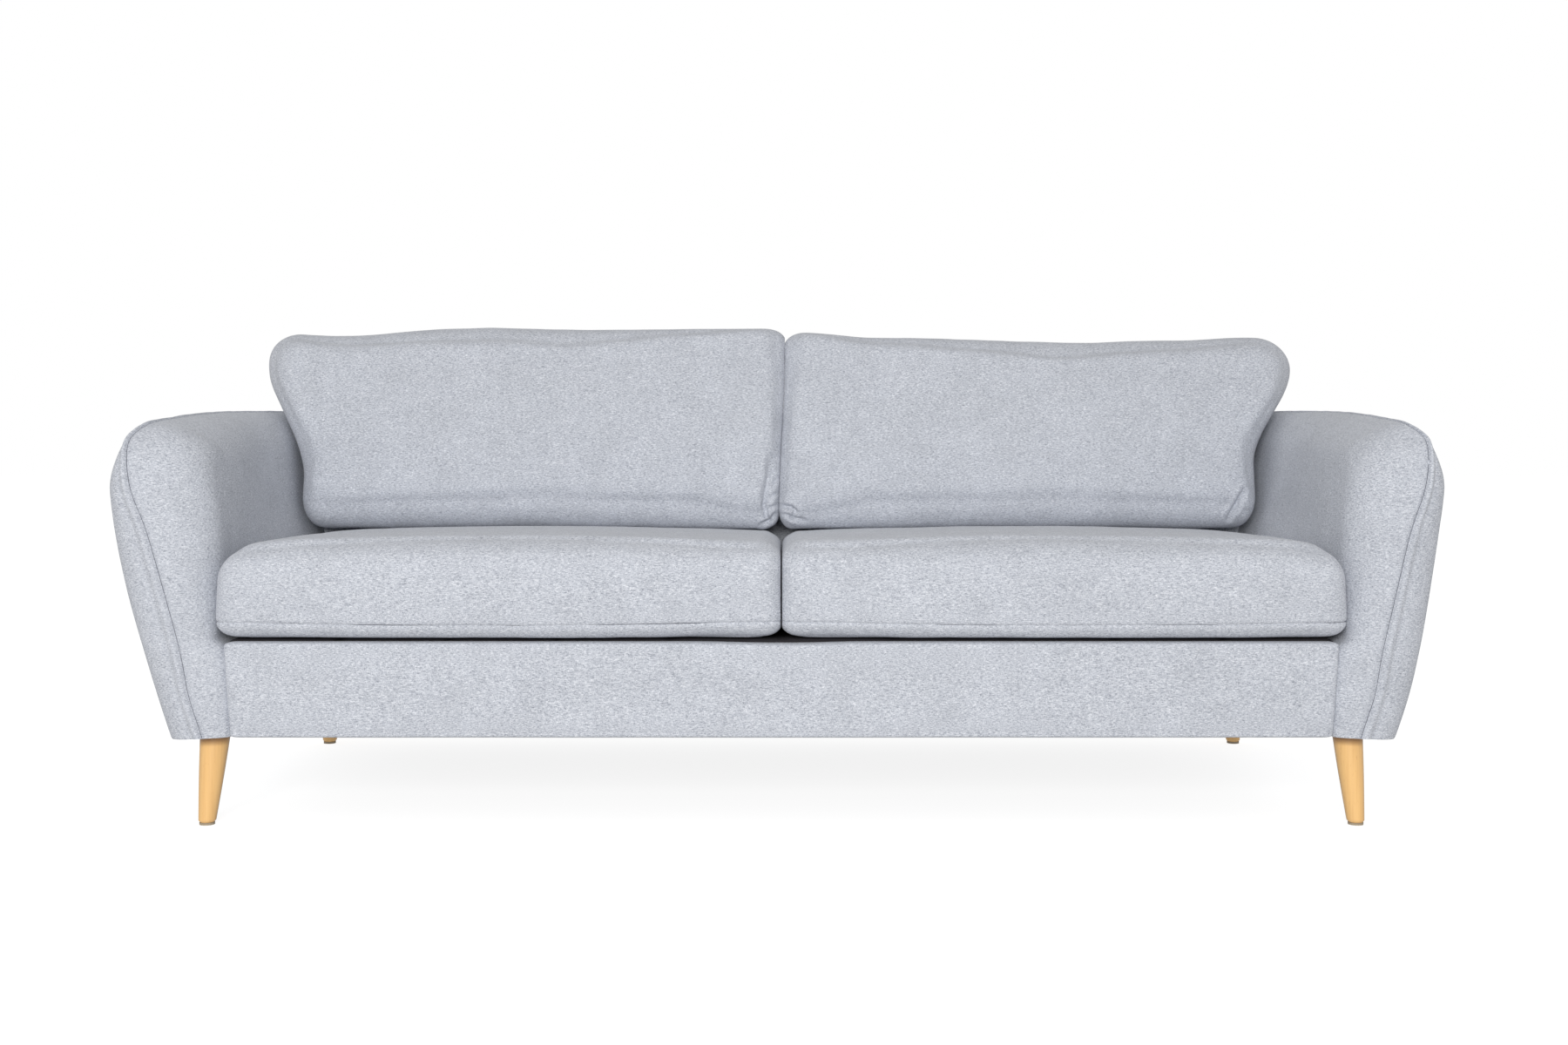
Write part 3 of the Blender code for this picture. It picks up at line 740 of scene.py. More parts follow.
ARM_FACE = 0.9065  # the inner face beside the apron
ARM_REACH = 0.0105  # its front end stands in towards the apron's foot
ARM_LEDGE, ARM_LEDGE_Z = 0.017, (0.292, 0.312)  # it steps back for the seat cushion
ARM_FLARE, ARM_FLARE_Z = 0.035, 0.45  # it opens outwards above the seat
ARM_RECESS = 0.018  # it recedes towards the rear
ARM_WIDEST_Z = 0.557
ARM_UNDERCUT, ARM_OVERCUT = 0.32, 0.76  # how fast the outer face draws in below and above that
ARM_FOOT_DROP = 0.006  # the outer face hangs a little lower than the inner one
ARM_REAR_ROLL = 0.010  # radius of the outer face's rear edge
SEAM_FOOT, SEAM_LEAN, SEAM_TOP = 0.938, 0.23, 1.0305  # where the seam starts and how it leans
ARM_CORNER = 0.090  # radius of the top front corner, seen from the side
ARM_FALL, ARM_FALL_LENGTH = 0.043, 0.28  # the top edge falls towards the front
ARM_STUFFING = 0.004  # how far the padding stands over the arm's top
# the thread's dark colour is partly painted shade down in the seam
ARM_THREAD = 0.0011  # radius of the thread down in the seam
# at the foot, at the widest, and taken off the top front corner
ARM_SWELL = {"left": (0.004, 0.012, 0.011), "right": (0.011, -0.002, 0.019)}


def arm_top(depth):
    return ARM_TOP + ARM_STUFFING - ARM_FALL * np.exp(-depth / ARM_FALL_LENGTH)


def arm_inner(z, depth):
    """The inner face; under the seat its front end reaches in to the apron."""
    low = -ARM_REACH * (1 - smooth(0.05, 0.12, depth)) * (1 - (z - BOTTOM) / 0.30)
    face = ARM_FACE + ARM_LEDGE * smooth(*ARM_LEDGE_Z, z)
    face = face + ARM_FLARE * np.clip((z - ARM_FLARE_Z) / 0.25, 0, None) ** 1.5
    face = face + ARM_RECESS * smooth(0.15, 0.50, depth) * smooth(0.42, 0.52, z)
    return face + low * (z < 0.306)


def arm_outer(z):
    under = ARM_UNDERCUT * np.clip(ARM_WIDEST_Z - z, 0, None) ** 1.5
    over = ARM_OVERCUT * np.clip(z - ARM_WIDEST_Z, 0, None) ** 1.5
    return ARM_WIDEST - under - over


def seam_line(step):
    """The arm's seam seen from the side and the front, from the front foot to the rear top."""
    corner_z = float(arm_top(0.0)) - ARM_CORNER
    heights = spaced(BOTTOM, corner_z, step)[:-1]
    turn = np.linspace(0, math.pi / 2, 18)
    corner_depth = ARM_CORNER * (1 - np.cos(turn))
    corner_height = arm_top(corner_depth) - ARM_CORNER * (1 - np.sin(turn))
    depths = spaced(ARM_CORNER, DEPTH, step)[1:]
    depth = np.concatenate([0 * heights, corner_depth, depths])
    z = np.concatenate([heights, corner_height, arm_top(depths)])
    on_front = SEAM_FOOT + SEAM_LEAN * (z - BOTTOM)
    on_front = on_front + 0.005 * bump(z, 0.22, 0.05) + 0.007 * bump(z, 0.555, 0.045)
    on_top = SEAM_TOP + 0.026 * np.exp(-depth / 0.10) - 0.030 * smooth(0.50, 0.88, depth)
    share = np.concatenate([0 * heights, smooth(0, math.pi / 2, turn), 0 * depths + 1])
    x = on_front * (1 - share) + on_top * share
    return np.stack([x, FRONT + depth, z], 1), share


def arm_panel(seam, share, outwards):
    """A grid from the seam over its roll and across the inner or outer face to the rear foot."""
    corner = np.array([REAR - REAR_LEAN * (ARM_TOP - BOTTOM), BOTTOM])
    along = np.gradient(seam[:, 1:], axis=0)
    inward = np.stack([-along[:, 1], along[:, 0]], 1)
    inward *= np.sign(inward @ np.array([1.0, -1.0]))[:, None]
    inward /= np.linalg.norm(inward, axis=1, keepdims=True)
    ray = corner - seam[:, 1:]
    reach = np.maximum(np.linalg.norm(ray, axis=1), 1e-9)
    ray /= reach[:, None]
    slant = np.clip((ray * inward).sum(1), 0.45, 1)
    z = seam[:, 2]
    depth = seam[:, 1] - FRONT
    face = arm_outer(z) if outwards else arm_inner(z, depth)
    if outwards:
        radius = 0.045 + 0.010 * share
    else:
        radius = 0.020 + 0.058 * smooth(0.22, 0.46, z) - 0.008 * share
    width = np.abs(seam[:, 0] - face)
    arc = math.pi / 4 * (width + radius)
    near = np.array([0.0, 0.0014, 0.0036, 0.0062, 0.0092, 0.0128, 0.0168, 0.0220])
    steps = near[None, :] * np.minimum(1, arc / 0.034)[:, None]
    further = np.linspace(0, 1, 9)[1:]
    steps = np.concatenate([steps, steps[:, -1:] + (arc - steps[:, -1])[:, None] * further], 1)
    turn = math.pi / 2 * steps / arc[:, None]
    travel = radius[:, None] * (1 - np.cos(turn)) / slant[:, None]
    open_face, at_corner = np.linspace(0, 0.96, 30)[1:] ** 1.15, [0.972, 0.984, 0.991, 0.996, 1.0]
    flat = np.concatenate([open_face, at_corner])
    rolled = steps.shape[1]
    travel = np.concatenate([travel, travel[:, -1:] + (reach - travel[:, -1])[:, None] * flat], 1)
    share_out = np.concatenate([np.sin(turn), np.ones((len(seam), len(flat)))], 1)
    y = seam[:, 1:2] + ray[:, 0:1] * travel
    height = seam[:, 2:3] + ray[:, 1:2] * travel
    if outwards:
        height = height - ARM_FOOT_DROP * share_out * smooth(BOTTOM + 0.04, BOTTOM, height)
        at_rear = np.clip(1 - (rear_y(height) - y) / ARM_REAR_ROLL, 0, 1)
        target = arm_outer(height) - ARM_REAR_ROLL * (1 - np.sqrt(1 - at_rear**2))
    else:
        target = arm_inner(height, y - FRONT)
    x = seam[:, 0:1] * (1 - share_out) + target * share_out
    grid = np.stack([x, y, height], 2)
    beyond = arc[:, None] + travel[:, rolled:] - travel[:, rolled - 1 : rolled]
    distance = np.concatenate([steps, beyond], 1)
    return grid, distance, np.concatenate([np.zeros((len(seam), 1)), -inward], 1)


def seam_relief(grid, distance, outward, outwards, arms, seed):
    """Push the cloth down into the seam, up over its folded allowance, and into small puckers."""
    facing = grid_normals(grid)
    facing = (1 if outwards else -1) * facing * np.sign(facing[:, -8:-7, 0:1])
    facing[:, 0] = outward
    for column in range(1, 4):
        facing[:, column] += outward * (1 - column / 4)
    facing /= np.maximum(np.linalg.norm(facing, axis=2, keepdims=True), 1e-9)
    lift = -arms.groove * np.exp(-((distance / 0.0022) ** 2))
    if outwards:
        edge = arms.ridge_width
        inside = np.clip(distance / edge, 0, 1)
        lift = lift + arms.ridge * np.sin(math.pi * inside) ** 0.8 * (distance < edge)
        lift = lift - 0.0018 * bump(distance, edge + 0.002, 0.0028)
    else:
        lift = lift + 0.0006 * bump(distance, 0.006, 0.003)
    flat = grid.reshape(-1, 3)
    folds = ripple(flat, 34.0, seed).reshape(distance.shape)
    slow = ripple(flat, 7.0, seed + 1).reshape(distance.shape)
    near_seam = np.exp(-distance / 0.030) * np.clip(distance / 0.006, 0, 1)
    lift = lift + arms.pucker * folds * near_seam
    lift = lift + 0.0016 * slow * smooth(0.01, 0.08, distance)
    return grid + facing * lift[:, :, None]


def close_arm(inner, outer):
    """The strips across the foot and the rear of the arm, between its two panels."""
    across = np.array([0, 0.015, 0.05, 0.12, 0.25, 0.4, 0.55, 0.7, 0.83, 0.93, 0.98, 1.0])
    strips = []
    for row in (0, -1):
        low, high = inner[row][:, None], outer[row][:, None]
        strips.append(low + (high - low) * across[None, :, None])
    return strips


def swell_arm(points, name):
    """Each arm is stuffed a little differently: more or less outwards, by height."""
    foot, widest, corner = ARM_SWELL[name]
    x, y, z = points.T
    amount = foot + (widest - foot) * smooth(BOTTOM, 0.50, z)
    amount = amount - corner * smooth(0.635, 0.675, z) * smooth(0.45, 0.15, y - FRONT)
    return np.stack([x + amount * smooth(0.93, 1.02, x - 0.10 * (z - BOTTOM)), y, z], 1)


def make_arm(name, side, arms):
    seam, share = seam_line(0.010)
    seam[:, 1] = np.minimum(seam[:, 1], rear_y(seam[:, 2]))
    panels = []
    for outwards in (False, True):
        grid, distance, outward = arm_panel(seam, share, outwards)
        seed = 3 + 2 * outwards + side
        panels.append(seam_relief(grid, distance, outward, outwards, arms, seed))
    panels[1][:, 0] = panels[0][:, 0]
    points, faces, start = [], [], 0
    for grid in panels + close_arm(*panels):
        points.append(grid.reshape(-1, 3))
        faces += grid_faces(*grid.shape[:2], start)
        start += len(points[-1])
    points = swell_arm(np.concatenate(points), name) * [side, 1, 1]
    obj = make_object(f"arm_upholstery_{name}", points, faces, MATERIALS["cloth"])
    refine(obj, 1)
    nodes = (f"arm_padding_{name}", f"arm_outer_pad_{name}")
    finish_piece(obj, "frame", nodes)
    # a dark thread tube down in the seam: partly real thread, partly painted shade of the groove
    line = swell_arm(panels[0][:, 0], name) * [side, 1, 1]
    tube = tube_parts(line, ARM_THREAD)
    thread = join_parts(f"arm_seam_{name}", [tube], MATERIALS["seam"])
    finish_piece(thread, "frame")


# ---------------------------------------------------------------- apron, rear panel, back padding


def rounded_slab(name, low, high, radii, cells, place, material, levels=1):
    """A block with rolled edges, bent by place(points)."""
    low, high = np.asarray(low, float), np.asarray(high, float)
    cuts = [spaced(low[a], high[a], cells[a]) for a in range(3)]
    points, faces = block_grid(*cuts)
    points = round_block(points, low, high, np.asarray(radii), np.asarray(radii))
    obj = make_object(name, place(points), faces, material)
    if levels:
        refine(obj, levels)
    return obj


APRON_HALF_TOP, APRON_HALF_BOTTOM = 0.9030, 0.8945


def make_apron():
    thick = APRON_HIGH[1] - APRON_LOW[1]

    def place(points):
        x, y, z = points.T
        up = (z - APRON_LOW[2]) / (APRON_HIGH[2] - APRON_LOW[2])
        half = APRON_HALF_BOTTOM + (APRON_HALF_TOP - APRON_HALF_BOTTOM) * up
        soft = ripple(points * [1, 0, 1], 6.0, 11) * 0.0014
        hem = -0.0016 * bump(z, APRON_LOW[2] + 0.0085, 0.0016) * (y < FRONT + 0.008)
        bow = 0.0012 * np.sin(math.pi * np.clip(up, 0, 1))
        lean = y - (soft + bow) * (y < FRONT + thick / 2) - hem
        dip = -0.0022 * (1 - smooth(0.02, 0.14, np.abs(x))) * smooth(0.7, 1.0, up)
        return np.stack([x * half / APRON_HALF_TOP, lean, z + dip], 1)

    low = (-APRON_HALF_TOP, FRONT, APRON_LOW[2])
    high = (APRON_HALF_TOP, APRON_HIGH[1], APRON_HIGH[2] - 0.0005)
    radii, cells = (0.007, 0.007, 0.006), (0.010, 0.008, 0.0045)
    obj = rounded_slab("front_apron_cover", low, high, radii, cells, place, MATERIALS["cloth"])
    finish_piece(obj, "frame", ("front_apron",))


def make_rear_panel():
    top = ARM_TOP - 0.0065
    half_high = 0.9560

    def place(points):
        x, y, z = points.T
        up = (z - BOTTOM) / (top - BOTTOM)
        half = arm_inner(z, DEPTH) + 0.003
        crown = 0.004 * (1 - (2 * up - 1) ** 4) * (1 - (x / half_high) ** 8)
        soft = 0.0014 * ripple(points * [1, 0, 1], 5.0, 23)
        back = y > REAR - 0.006
        hem = 0.0014 * bump(z, BOTTOM + 0.018, 0.0018) * back
        out = (crown + soft) * back - hem
        lean = y - REAR_LEAN * (ARM_TOP - z)
        return np.stack([x * half / half_high, lean + out - 0.004, z], 1)

    low = (-half_high, REAR - 0.0125, BOTTOM)
    high = (half_high, REAR, top)
    radii, cells = (0.006, 0.006, 0.006), (0.016, 0.004, 0.009)
    obj = rounded_slab("rear_panel_cover", low, high, radii, cells, place, MATERIALS["cloth"])
    finish_piece(obj, "frame", ("back_outer_panel",))


def back_profile(step):
    """The back padding from its foot up its front, over the top and down behind the rail."""
    top, roll = ARM_TOP + 0.001, 0.030
    foot = PADDING_LOW[2]
    climb = spaced(foot, top - roll, step)
    points = [(pad_y(z) - 0.001, z) for z in climb]
    centre_z = top - roll
    front_y = pad_y(centre_z) - 0.001 + roll
    rear_edge = PADDING_HIGH[1] - 0.001
    rear_y_centre = rear_edge - roll
    turns = np.linspace(0, math.pi / 2, 8)
    points += [(front_y - roll * math.cos(t), centre_z + roll * math.sin(t)) for t in turns[1:]]
    points += [(y, top) for y in spaced(front_y, rear_y_centre, 0.012)[1:-1]]
    points += [(rear_y_centre + roll * math.sin(t), centre_z + roll * math.cos(t)) for t in turns]
    points += [(rear_edge, z) for z in spaced(PADDING_HIGH[2] - 0.06, centre_z, 0.01)[::-1][1:]]
    return np.array(points)


def make_back_padding():
    profile = back_profile(0.016)
    across = np.linspace(-1, 1, 121)
    y, z = profile.T
    half = arm_inner(z, y - FRONT) + 0.006
    x = across[:, None] * half[None, :]
    grid = np.stack([x, np.broadcast_to(y, x.shape), np.broadcast_to(z, x.shape)], 2)
    facing = grid_normals(grid)
    facing *= -np.sign(facing[len(across) // 2, 2, 1])
    soft = ripple(grid.reshape(-1, 3), 5.0, 31).reshape(grid.shape[:2])
    grid = grid + facing * (0.0016 * soft)[:, :, None]
    seam = int(len(profile) * 0.86)  # along the top rail's rear edge
    grid[:, seam] -= facing[:, seam] * 0.0015
    points = grid.reshape(-1, 3)
    obj = make_object("back_padding_cover", points, grid_faces(*grid.shape[:2]), MATERIALS["cloth"])
    shell = obj.modifiers.new("Layer", "SOLIDIFY")
    shell.thickness = 0.012
    shell.offset = -1
    refine(obj, 1)
    finish_piece(obj, "frame", ("back_padding",))


def make_deck():
    """Black lining stitched in channels over the springs."""
    thick = 0.016
    half = DECK_HIGH[0]

    def place(points):
        x, y, z = points.T
        channel = np.abs(np.sin(math.pi * (x / half) * 5))
        up = z > thick / 2
        quilt = -0.0035 * (1 - np.clip(channel / 0.22, 0, 1)) ** 2 * up
        wave = 0.001 * ripple(points * [1, 1, 0], 8.0, 41) * up
        return np.stack([x, y, z - thick + quilt + wave + deck_height(y) - 0.0015], 1)

    low, high = (-half, DECK_LOW[1], 0), (half, DECK_HIGH[1], thick)
    radii, cells = (0.005, 0.005, 0.005), (0.012, 0.012, 0.004)
    lining = MATERIALS["lining"]
    obj = rounded_slab("seat_deck_lining", low, high, radii, cells, place, lining, 0)
    finish_piece(obj, "frame", ("seat_deck",))


def make_dust_cover():
    """Thin black cloth stapled under the frame, sagging a little."""
    low, high = np.array(COVER_LOW), np.array(COVER_HIGH)
    xs, ys = spaced(low[0], high[0], 0.02), spaced(low[1], high[1], 0.02)
    x, y = np.meshgrid(xs, ys, indexing="ij")
    u = (x - low[0]) / (high[0] - low[0]) * 2 - 1
    v = (y - low[1]) / (high[1] - low[1]) * 2 - 1
    sag = 0.004 * (1 - u**4) * (1 - v**4)
    z = low[2] + 0.0008 - sag * 0.5
    points = np.stack([x, y, z], 2).reshape(-1, 3)
    points[:, 2] += 0.0012 * ripple(points, 9.0, 51) * ((1 - u**6) * (1 - v**6)).ravel()
    obj = make_object("dust_cover_cloth", points, grid_faces(*x.shape), MATERIALS["lining"])
    shell = obj.modifiers.new("Cloth", "SOLIDIFY")
    shell.thickness = 0.0006
    finish_piece(obj, "frame", ("dust_cover",))
    make_staples(low, high)


def make_staples(low, high):
    parts = []
    inset, crown, leg = 0.010, 0.010, 0.003
    level = low[2] - 0.0006
    for x in spaced(low[0] + 0.05, high[0] - 0.05, 0.09):
        for y in (low[1] + inset, high[1] - inset):
            left, right = x - crown / 2, x + crown / 2
            path = [(left, y, level + leg), (left, y, level), (right, y, level), (right, y, level + leg)]
            parts.append(tube_parts(path, 0.0005))
    obj = join_parts("dust_cover_staples", parts, MATERIALS["steel"])
    finish_piece(obj, "frame")


# ---------------------------------------------------------------- legs


def make_leg(name, wood):
    """A turned, tapered leg between the centres that the frame gives, with eased ends."""
    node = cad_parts[name]
    points = places(node.data)
    low_z, high_z = points[:, 2].min(), points[:, 2].max()
    foot = points[points[:, 2] < low_z + 0.002]
    head = points[points[:, 2] > high_z - 0.002]
    foot_at, head_at = foot.mean(0), head.mean(0)
    foot_at[2], head_at[2] = low_z, high_z
    foot_radius = np.linalg.norm((foot - foot_at)[:, :2], axis=1).max()
    head_radius = np.linalg.norm((head - head_at)[:, :2], axis=1).max()
    at_foot, at_head = [0, 0.004, 0.012, 0.022, 0.04], [0.96, 0.985, 0.993, 1.0]
    ups = np.concatenate([at_foot, np.linspace(0.08, 0.92, 15), at_head])
    ease = 0.0022 * (1 - smooth(0.0, 0.022, ups)) + 0.0006 * smooth(0.985, 1.0, ups)
    swell = 0.0006 * np.sin(math.pi * ups)
    radii = foot_radius + (head_radius - foot_radius) * ups + swell - ease
    turn = np.linspace(0, 2 * math.pi, wood.segments, endpoint=False)
    ring = np.stack([np.cos(turn), np.sin(turn), 0 * turn], 1)
    centres = foot_at + (head_at - foot_at) * ups[:, None]
    rings = centres[:, None] + radii[:, None, None] * ring[None]
    number = np.arange(len(ups) * len(turn)).reshape(len(ups), len(turn))
    ahead = np.roll(number, -1, axis=1)
    faces = np.stack([number[:-1], ahead[:-1], ahead[1:], number[1:]], -1).reshape(-1, 4).tolist()
    faces += [number[0][::-1].tolist(), number[-1].tolist()]
    obj = make_object(f"turned_{name}", rings.reshape(-1, 3), faces, MATERIALS["leg"])
    finish_piece(obj, "frame", (name,))


# ---------------------------------------------------------------- cushions


def press_in(points, facing, path, deep, wide, lip=0.35):
    """A crease along a path of (x, z) places on the front: a valley with a lip on each side."""
    path = np.asarray(path, float)
    flat = points[:, [0, 2]]
    nearest = np.full(len(flat), 9.0)
    taper = np.zeros(len(flat))
    count = len(path) - 1
    for number in range(count):
        start, end = path[number], path[number + 1]
        run = end - start
        along = np.clip(((flat - start) @ run) / (run @ run), 0, 1)
        gap = np.linalg.norm(flat - start - along[:, None] * run, axis=1)
        closer = gap < nearest
        nearest = np.where(closer, gap, nearest)
        taper = np.where(closer, np.sin(math.pi * (0.12 + 0.76 * (number + along) / count)), taper)
    front = smooth(0.25, -0.15, facing[:, 1])
    shape = -np.exp(-((nearest / wide) ** 2)) + lip * np.exp(-(((nearest - 2.0 * wide) / wide) ** 2))
    return points + facing * (deep * shape * taper * front)[:, None]


SLIDER_AT = 0.25  # the sliders stand this far left of the middle of their zips


def zip_seat(kind, side):
    """Middle of a cushion's zip, its direction outwards and its width direction."""
    name = f"{kind}_zip_slider_{side}"
    points = places(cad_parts[name].data)
    tilt = math.radians(-25 if kind == "seat" else -40)
    outwards = np.array([0, math.cos(tilt), math.sin(tilt)])
    upwards = np.array([0, -math.sin(tilt), math.cos(tilt)])
    body = points[np.argsort(points @ upwards)[-4:]]
    middle = body.mean(0)
    level = (points @ outwards).min()
    middle = middle - outwards * (middle @ outwards - level)
    middle = middle - upwards * 0.004
    middle[0] += SLIDER_AT
    return middle, outwards, upwards


def settle_under_zip(points, seat):
    """Keep the cover just under its zip tape."""
    middle, outwards, upwards = seat
    away = points - middle
    along, across = np.abs(away[:, 0]), np.abs(away @ upwards)
    within = smooth(0.335, 0.305, along) * smooth(0.030, 0.014, across)
    over = away @ outwards + 0.0022
    return points - outwards * (np.clip(over, 0, None) * within)[:, None]


TAPE_HALF = 0.0125
TOOTH_PITCH, TOOTH_HALF = 0.0025, np.array([0.0009, 0.0007, 0.0019])


def make_zip(kind, side):
    middle, outwards, upwards = zip_seat(kind, side)
    xs = spaced(-ZIP_HALF - 0.02, ZIP_HALF + 0.02, 0.01)
    parts = []
    for edge in (-1, 1):
        lines = []
        for across, out in ((0.0012, 0.0), (TAPE_HALF * 0.5, 0.0002), (TAPE_HALF, -0.0012)):
            line = middle + np.stack([xs, 0 * xs, 0 * xs], 1)
            lines.append(line + upwards * edge * across + outwards * (out - 0.0016))
        grid = np.stack(lines, 1)
        back = grid - outwards * 0.0006
        both = np.concatenate([grid, back[:, ::-1]], 1)
        both = np.concatenate([both, both[:, :1]], 1)
        parts.append((both.reshape(-1, 3), grid_faces(*both.shape[:2])))
    tape = join_parts(f"{kind}_zip_tape_{side}", parts, MATERIALS["zip tape"])
    teeth = []
    cube = np.array([(x, y, z) for x in (-1, 1) for y in (-1, 1) for z in (-1, 1)], float)
    quads = [[0, 1, 3, 2], [4, 6, 7, 5], [0, 4, 5, 1], [2, 3, 7, 6], [0, 2, 6, 4], [1, 5, 7, 3]]
    for number, x in enumerate(np.arange(-ZIP_HALF, ZIP_HALF, TOOTH_PITCH)):
        edge = 1 if number % 2 else -1
        local = cube * TOOTH_HALF + [x, 0, edge * 0.0011]
        world = middle + local[:, :1] * [1, 0, 0] + local[:, 1:2] * outwards + local[:, 2:3] * upwards
        teeth.append((world - outwards * 0.0008, quads))
    chain = join_parts(f"{kind}_zip_chain_{side}", teeth, MATERIALS["zip"])
    chain.data.shade_flat()
    body = f"{kind}_cushion_{side}"
    finish_piece(tape, body)
    finish_piece(chain, body)


def loop_tube(name, points, radius, body):
    """A closed seam line through points in order round a cushion: a dark thread tube, partly the
    thread's own colour, partly painted shade down in the seam.
    """
    path = np.concatenate([points, points[:1]])
    obj = join_parts(name, [tube_parts(path, radius)], MATERIALS["seam"])
    finish_piece(obj, body)


def ring_order(params, mask, first, second):
    """Numbers of the masked points, in order round the block."""
    chosen = np.nonzero(mask)[0]
    angle = np.arctan2(params[chosen, second], params[chosen, first])
    return chosen[np.argsort(angle)]


SEAT_INNER, SEAT_OUTER = -0.0035, 0.9225  # where a seat cushion meets the other and the arm
SEAT_NOSE, SEAT_REAR = FRONT - 0.004, 0.236
SEAT_HALF_X, SEAT_HALF_Y = (SEAT_OUTER - SEAT_INNER) / 2, (SEAT_REAR - SEAT_NOSE) / 2
SEAT_RISE = 0.002  # a seat cushion is a little fuller towards the rear
SEAT_BULGE = 0.006  # how far its front face swells
SEAT_FALL, SEAT_FALL_WIDTH = 0.020, 0.12  # its top falls away beside the arm
SEAT_LIFT = 0.0022  # its front foot edge lifts a little towards the middle of the sofa
SEAM_GROOVE = np.array([-0.0034, -0.0013, 0, 0.0013, 0.0034])  # rows across the seam
SEAT_THREAD = 0.0008


def seat_block(side, cushions):
    """The sewn form of a seat cushion: its block's own places, its faces, its places at rest."""
    half_x, half_y = SEAT_HALF_X, SEAT_HALF_Y
    mid_x, mid_y = side * (SEAT_OUTER + SEAT_INNER) / 2, (SEAT_REAR + SEAT_NOSE) / 2
    tall, cell = cushions.seat_edge, cushions.cell
    rows = cushions.seat_seam + SEAM_GROOVE
    ws = np.concatenate([[0, 0.008, 0.0155], rows, spaced(0.037, tall, cell)])
    params, faces = block_grid(spaced(-half_x, half_x, cell), spaced(-half_y, half_y, cell), ws)
    low, high = np.array([-half_x, -half_y, 0]), np.array([half_x, half_y, tall])
    tip = smooth(0.2, 0.8, params[:, 2] / tall)
    is_outer = side * params[:, 0] > 0
    round_x = np.where(is_outer, 0.040 - 0.006 * tip, 0.036 - 0.016 * tip)
    round_y = 0.036 + 0.020 * tip
    roll = 0.034 + 0.010 * smooth(-0.95, -0.35, side * params[:, 0] / half_x)
    radii_low = np.stack([round_x, round_y, 0 * tip + 0.024], 1)
    radii_high = np.stack([round_x, 0 * tip + 0.034, roll], 1)
    points = round_block(params, low, high, radii_low, radii_high)
    u, v = points[:, 0] / half_x, points[:, 1] / half_y
    up = np.clip(points[:, 2] / tall, 0, 1)
    crown = cushions.seat_crown * (1 - u**2) * (1 - np.clip(v, -1, 1) ** 4)
    rise = SEAT_RISE * smooth(-1, 0.6, v)
    y = mid_y + points[:, 1]
    bulge = SEAT_BULGE * np.sin(math.pi * up) * (1 - u**6) * smooth(-0.90, -1.0, v)
    from_arm = half_x - side * points[:, 0]
    fall = SEAT_FALL * np.clip(1 - from_arm / SEAT_FALL_WIDTH, 0, 1) ** 2
    z = deck_height(y) + 0.0008 + points[:, 2] + (crown + rise - fall) * smooth(0.25, 1, up)
    lift = SEAT_LIFT * smooth(0.15, 0.9, u * -side) * smooth(-0.5, -1, v) * (1 - up)
    return params, faces, np.stack([mid_x + points[:, 0], y - bulge, z + lift], 1)


def make_seat_cushion(name, side, cushions):
    params, faces, world = seat_block(side, cushions)
    obj = make_object(f"seat_cushion_{name}", world, faces, MATERIALS["cloth"])
    inflate(obj, cushions.pressure, 0.007)
    world = places(obj.data)
    facing = normals(obj.data)
    seam = cushions.seat_seam
    on_side = np.abs(params[:, 0]) > SEAT_HALF_X - 1e-6
    on_end = np.abs(params[:, 1]) > SEAT_HALF_Y - 1e-6
    around = np.isin(np.round(params[:, 2], 6), np.round(seam + SEAM_GROOVE, 6))
    around &= on_side | on_end
    from_seam = np.abs(params[:, 2] - seam)
    sink = np.interp(from_seam, [0, 0.0013, 0.0034, 0.006], [-0.0030, -0.0009, 0.0004, 0]) * around
    world = world + facing * sink[:, None]
    world[:, 2] = np.maximum(world[:, 2], deck_height(world[:, 1]) + 0.0006)
    world[:, 1] = np.clip(world[:, 1], SEAT_NOSE - 0.012, SEAT_REAR + 0.002)
    world = settle_under_zip(world, zip_seat("seat", name))
    put_places(obj.data, world)
    line = world[ring_order(params, around & (from_seam < 1e-6), 0, 1)]
    refine(obj, 1)
    soften_surface(obj, 0.0010, 60 + side)
    world = places(obj.data)
    world[:, 0] = side * np.clip(world[:, 0] * side, 0.0012, SEAT_OUTER + 0.0015)
    world[:, 2] = np.maximum(world[:, 2], deck_height(world[:, 1]) + 0.0006)
    put_places(obj.data, world)
    body = f"seat_cushion_{name}"
    nodes = (f"seat_cushion_cover_{name}", f"seat_cushion_core_{name}")
    finish_piece(obj, body, nodes)
    loop_tube(f"seat_cushion_seam_{name}", line, SEAT_THREAD, body)
    make_zip("seat", name)


def soften_surface(obj, amount, seed):
    """Slow hollows and swells of a stuffed cover."""
    points = places(obj.data)
    facing = normals(obj.data)
    swell = ripple(points, 9.0, seed) + 0.4 * ripple(points, 23.0, seed + 1)
    put_places(obj.data, points + facing * (amount * swell)[:, None])


def gap_line(z):
    """Where the two back cushions meet: a little left at the foot, right at the top."""
    return -0.005 + 0.012 * smooth(0.50, 0.80, z)


# The outer edge at the foot, how much further out the ear reaches, and where it starts to widen
BACK_EARS = {"left": (0.942, 0.087, 0.25), "right": (0.932, 0.089, 0.32)}
# Hills and dips along the top edge: height, distance from the middle of the sofa, width
TOP_WAVES = {
    "left": ((0.0065, 0.585, 0.15), (-0.010, 0.88, 0.12)),
    "right": ((0.009, 0.04, 0.085), (-0.005, 0.58, 0.17), (0.005, 0.93, 0.07)),
}


def outer_edge(name, up):
    """Where a back cushion ends outwards: it widens into an ear over the arm."""
    foot, ear, start = BACK_EARS[name]
    return foot + ear * smooth(start, 0.85, up)


def top_wave(name, x):
    """How the top edge rises and dips along a back cushion."""
    return sum(high * bump(np.abs(x), place, width) for high, place, width in TOP_WAVES[name])


